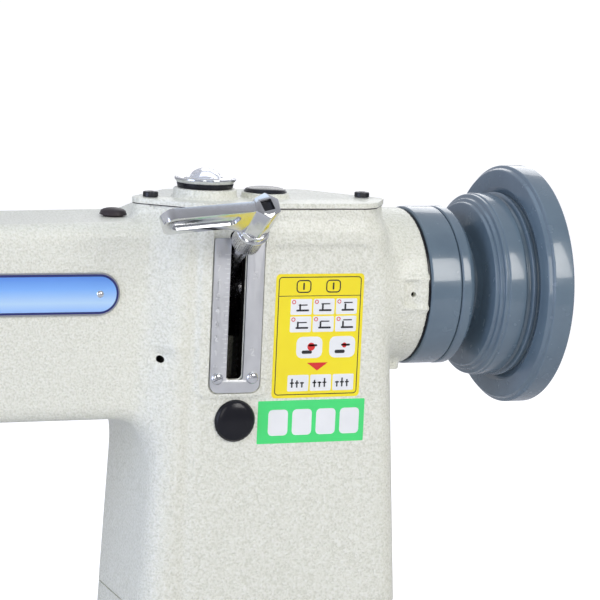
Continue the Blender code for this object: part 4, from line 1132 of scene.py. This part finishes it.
def make_base_details():
    finish_piece(hook_cover_mesh(), "hook_cover_door", CREAM, "hook_cover", ["hook_cover"], smooth=35)
    for name, x, y in (("a", -168, -66), ("b", -168, 66), ("c", 90, -72), ("d", 90, 72)):
        ring = [(5.6, 19.3, 0.2), (9.0, 19.3, 0.3), (9.0, 18.4, 0), (5.6, 18.4, 0)]
        turned_piece(f"bolt_washer_{name}", ring, (x, y, 0), UP, STEEL, 40)


def hook_cover_mesh():
    radius = 46 * 0.98
    rim = []
    for k in range(72):
        angle = 2 * math.pi * k / 72
        rim.append((radius * math.cos(angle), min(BED_Z + radius * math.sin(angle), BED_TOP - 0.4)))
    plate = prism(rim, -345.6, -341.3, "YZ", 1.2, 3)
    knuckle = lathe(soft_profile([(0, 12, 0), (3, 12, 0.5), (3, -12, 0.5), (0, -12, 0)]),
                    (-346.4, 0, 60.4), BACK, 32)
    return combine(plate, [knuckle], "UNION")


CABLE_ROUTE = [(-54.0, 60, 266.6), (-53.4, 60, 254.0), (-51.4, 60, 230.0), (-48.6, 60, 190.0),
               (-46.6, 60, 150.0), (-45.6, 60, 110.0), (-45.4, 60, 88.3)]


def make_cable():
    """The foot lift cable: seven strands laid round each other."""
    line = smooth(CABLE_ROUTE, 24)
    lengths = [0.0]
    for a, b in zip(line, line[1:]):
        lengths.append(lengths[-1] + (b - a).length)
    strands = [tube_along(line, 0.62, "core", 3)]
    for k in range(6):
        strand = []
        for point, run in zip(line, lengths):
            angle = 2 * math.pi * (run / 11.0 + k / 6)
            strand.append(point + Vector((math.cos(angle), math.sin(angle), 0)) * 0.98)
        strands.append(tube_along(strand, 0.52, "strand", 2))
    cable = merged(strands)
    finish_piece(cable, "lift_cable_strands", CAST_STEEL, "lift_cable", ["lift_cable"], "cable_steel", 60)


# ---- carried-over CAD nodes

def finish_nodes():
    """The mechanism's plain parts, as the CAD shapes them, in bright steel."""
    for obj in nodes.values():
        if not obj.material_slots:
            obj.data.materials.append(STEEL)
        for slot in obj.material_slots:
            slot.material = STEEL


# ---- studio

def area_light(name, location, target, size, power, colour):
    light = bpy.data.lights.new(name, "AREA")
    light.shape = "RECTANGLE"
    light.size = size[0]
    light.size_y = size[1]
    light.energy = power
    light.color = colour
    obj = bpy.data.objects.new(name, light)
    obj.location = location
    obj.rotation_euler = (Vector(target) - Vector(location)).to_track_quat("-Z", "Y").to_euler()
    bpy.context.scene.collection.objects.link(obj)


WARM = (1.0, 0.985, 0.95)
LIGHTS = [("key_softbox", (0.70, -1.42, 1.12), (0.10, 0, 0.34), (0.66, 0.9), 12.6, WARM),
          ("strip_softbox", (-0.55, -1.35, 0.75), (-0.05, 0, 0.34), (0.3, 0.9), 3.0, WARM),
          ("left_fill", (-1.6, -0.5, 0.6), (0, 0, 0.33), (0.7, 1.0), 11.0, (0.66, 0.74, 1.0)),
          ("top_light", (0.0, 0.1, 1.9), (0, 0, 0.3), (1.2, 1.0), 2.9, (0.62, 0.80, 1.0)),
          ("rear_rim", (0.7, 1.3, 1.0), (0.1, 0, 0.33), (0.8, 0.8), 3.0, (1.0, 1.0, 1.0))]


def make_studio():
    scene = bpy.context.scene
    scene.view_settings.view_transform = "Standard"
    scene.world = studio_world()
    floor = bpy.data.meshes.new("floor")
    floor.from_pydata([(-40, -40, 0), (40, -40, 0), (40, 40, 0), (-40, 40, 0)], [], [(0, 1, 2, 3)])
    floor = bpy.data.objects.new("floor", floor)
    floor.location = (0, 0, -0.0005)
    pale = Finish("studio_floor", (0.62, 0.62, 0.64), 0.8)
    pale.set("Specular IOR Level", 0.1)
    pale.set("Emission Color", (1, 1, 1, 1))
    seen = pale.node("LightPath").outputs["Is Camera Ray"]
    glow = pale.node("Math", Value=seen)
    glow.operation = "MULTIPLY"
    glow.inputs[1].default_value = 0.75
    pale.link(glow.outputs[0], "Emission Strength")
    floor.data.materials.append(pale.mat)
    scene.collection.objects.link(floor)
    for name, place, target, size, power, colour in LIGHTS:
        area_light(name, place, target, size, power, colour)


def studio_world():
    """White behind and below, a dimmer room above and towards the front."""
    world = bpy.data.worlds.new("studio")
    world.use_nodes = True
    shader = NodeTree(world.node_tree)
    coords = shader.node("TexCoord").outputs["Generated"]
    across = shader.node("SeparateXYZ", Vector=coords).outputs["Y"]
    spread = shader.node("MapRange", Value=across, From_Min=-1.0, From_Max=1.0).outputs["Result"]
    room = shader.ramp(spread, [(0.2, (0.30, 0.305, 0.33)), (0.62, (0.60, 0.61, 0.66))])
    mix = shader.node("Mix")
    mix.data_type = "RGBA"
    shader.tree.links.new(shader.node("LightPath").outputs["Is Camera Ray"], mix.inputs[0])
    shader.tree.links.new(room, mix.inputs[6])
    mix.inputs[7].default_value = (1, 1, 1, 1)
    shader.tree.links.new(mix.outputs[2], shader.tree.nodes["Background"].inputs["Color"])
    return world


def make_camera():
    """Looks from the front left, slightly down, along the photographed side."""
    turn = math.radians(22.0)
    drop = math.radians(8.5)
    roll = math.radians(2.6)
    distance = 1410.0
    aim = Vector((18, FRONT_Y, 353))
    view = Vector((math.sin(turn) * math.cos(drop), math.cos(turn) * math.cos(drop), -math.sin(drop)))
    right = Vector((math.cos(turn), -math.sin(turn), 0))
    up = right.cross(view)
    right, up = (right * math.cos(roll) + up * math.sin(roll), up * math.cos(roll) - right * math.sin(roll))
    camera = bpy.data.cameras.new("camera")
    camera.lens = 144.0
    camera.sensor_width = 36.0
    obj = bpy.data.objects.new("camera", camera)
    axes = Matrix((right, up, -view)).transposed().to_4x4()
    obj.matrix_world = Matrix.Translation((aim - view * distance) * MM) @ axes
    bpy.context.scene.collection.objects.link(obj)
    bpy.context.scene.camera = obj


for make in (make_camera, make_cable, make_arm_casting, make_bed_casting, make_cover, make_stitch_plate,
             make_badge, make_stickers, make_collar, make_handwheel, make_lever, make_head, make_tension,
             make_thread_guides, make_bars, make_base_details):
    make()
finish_nodes()
make_studio()
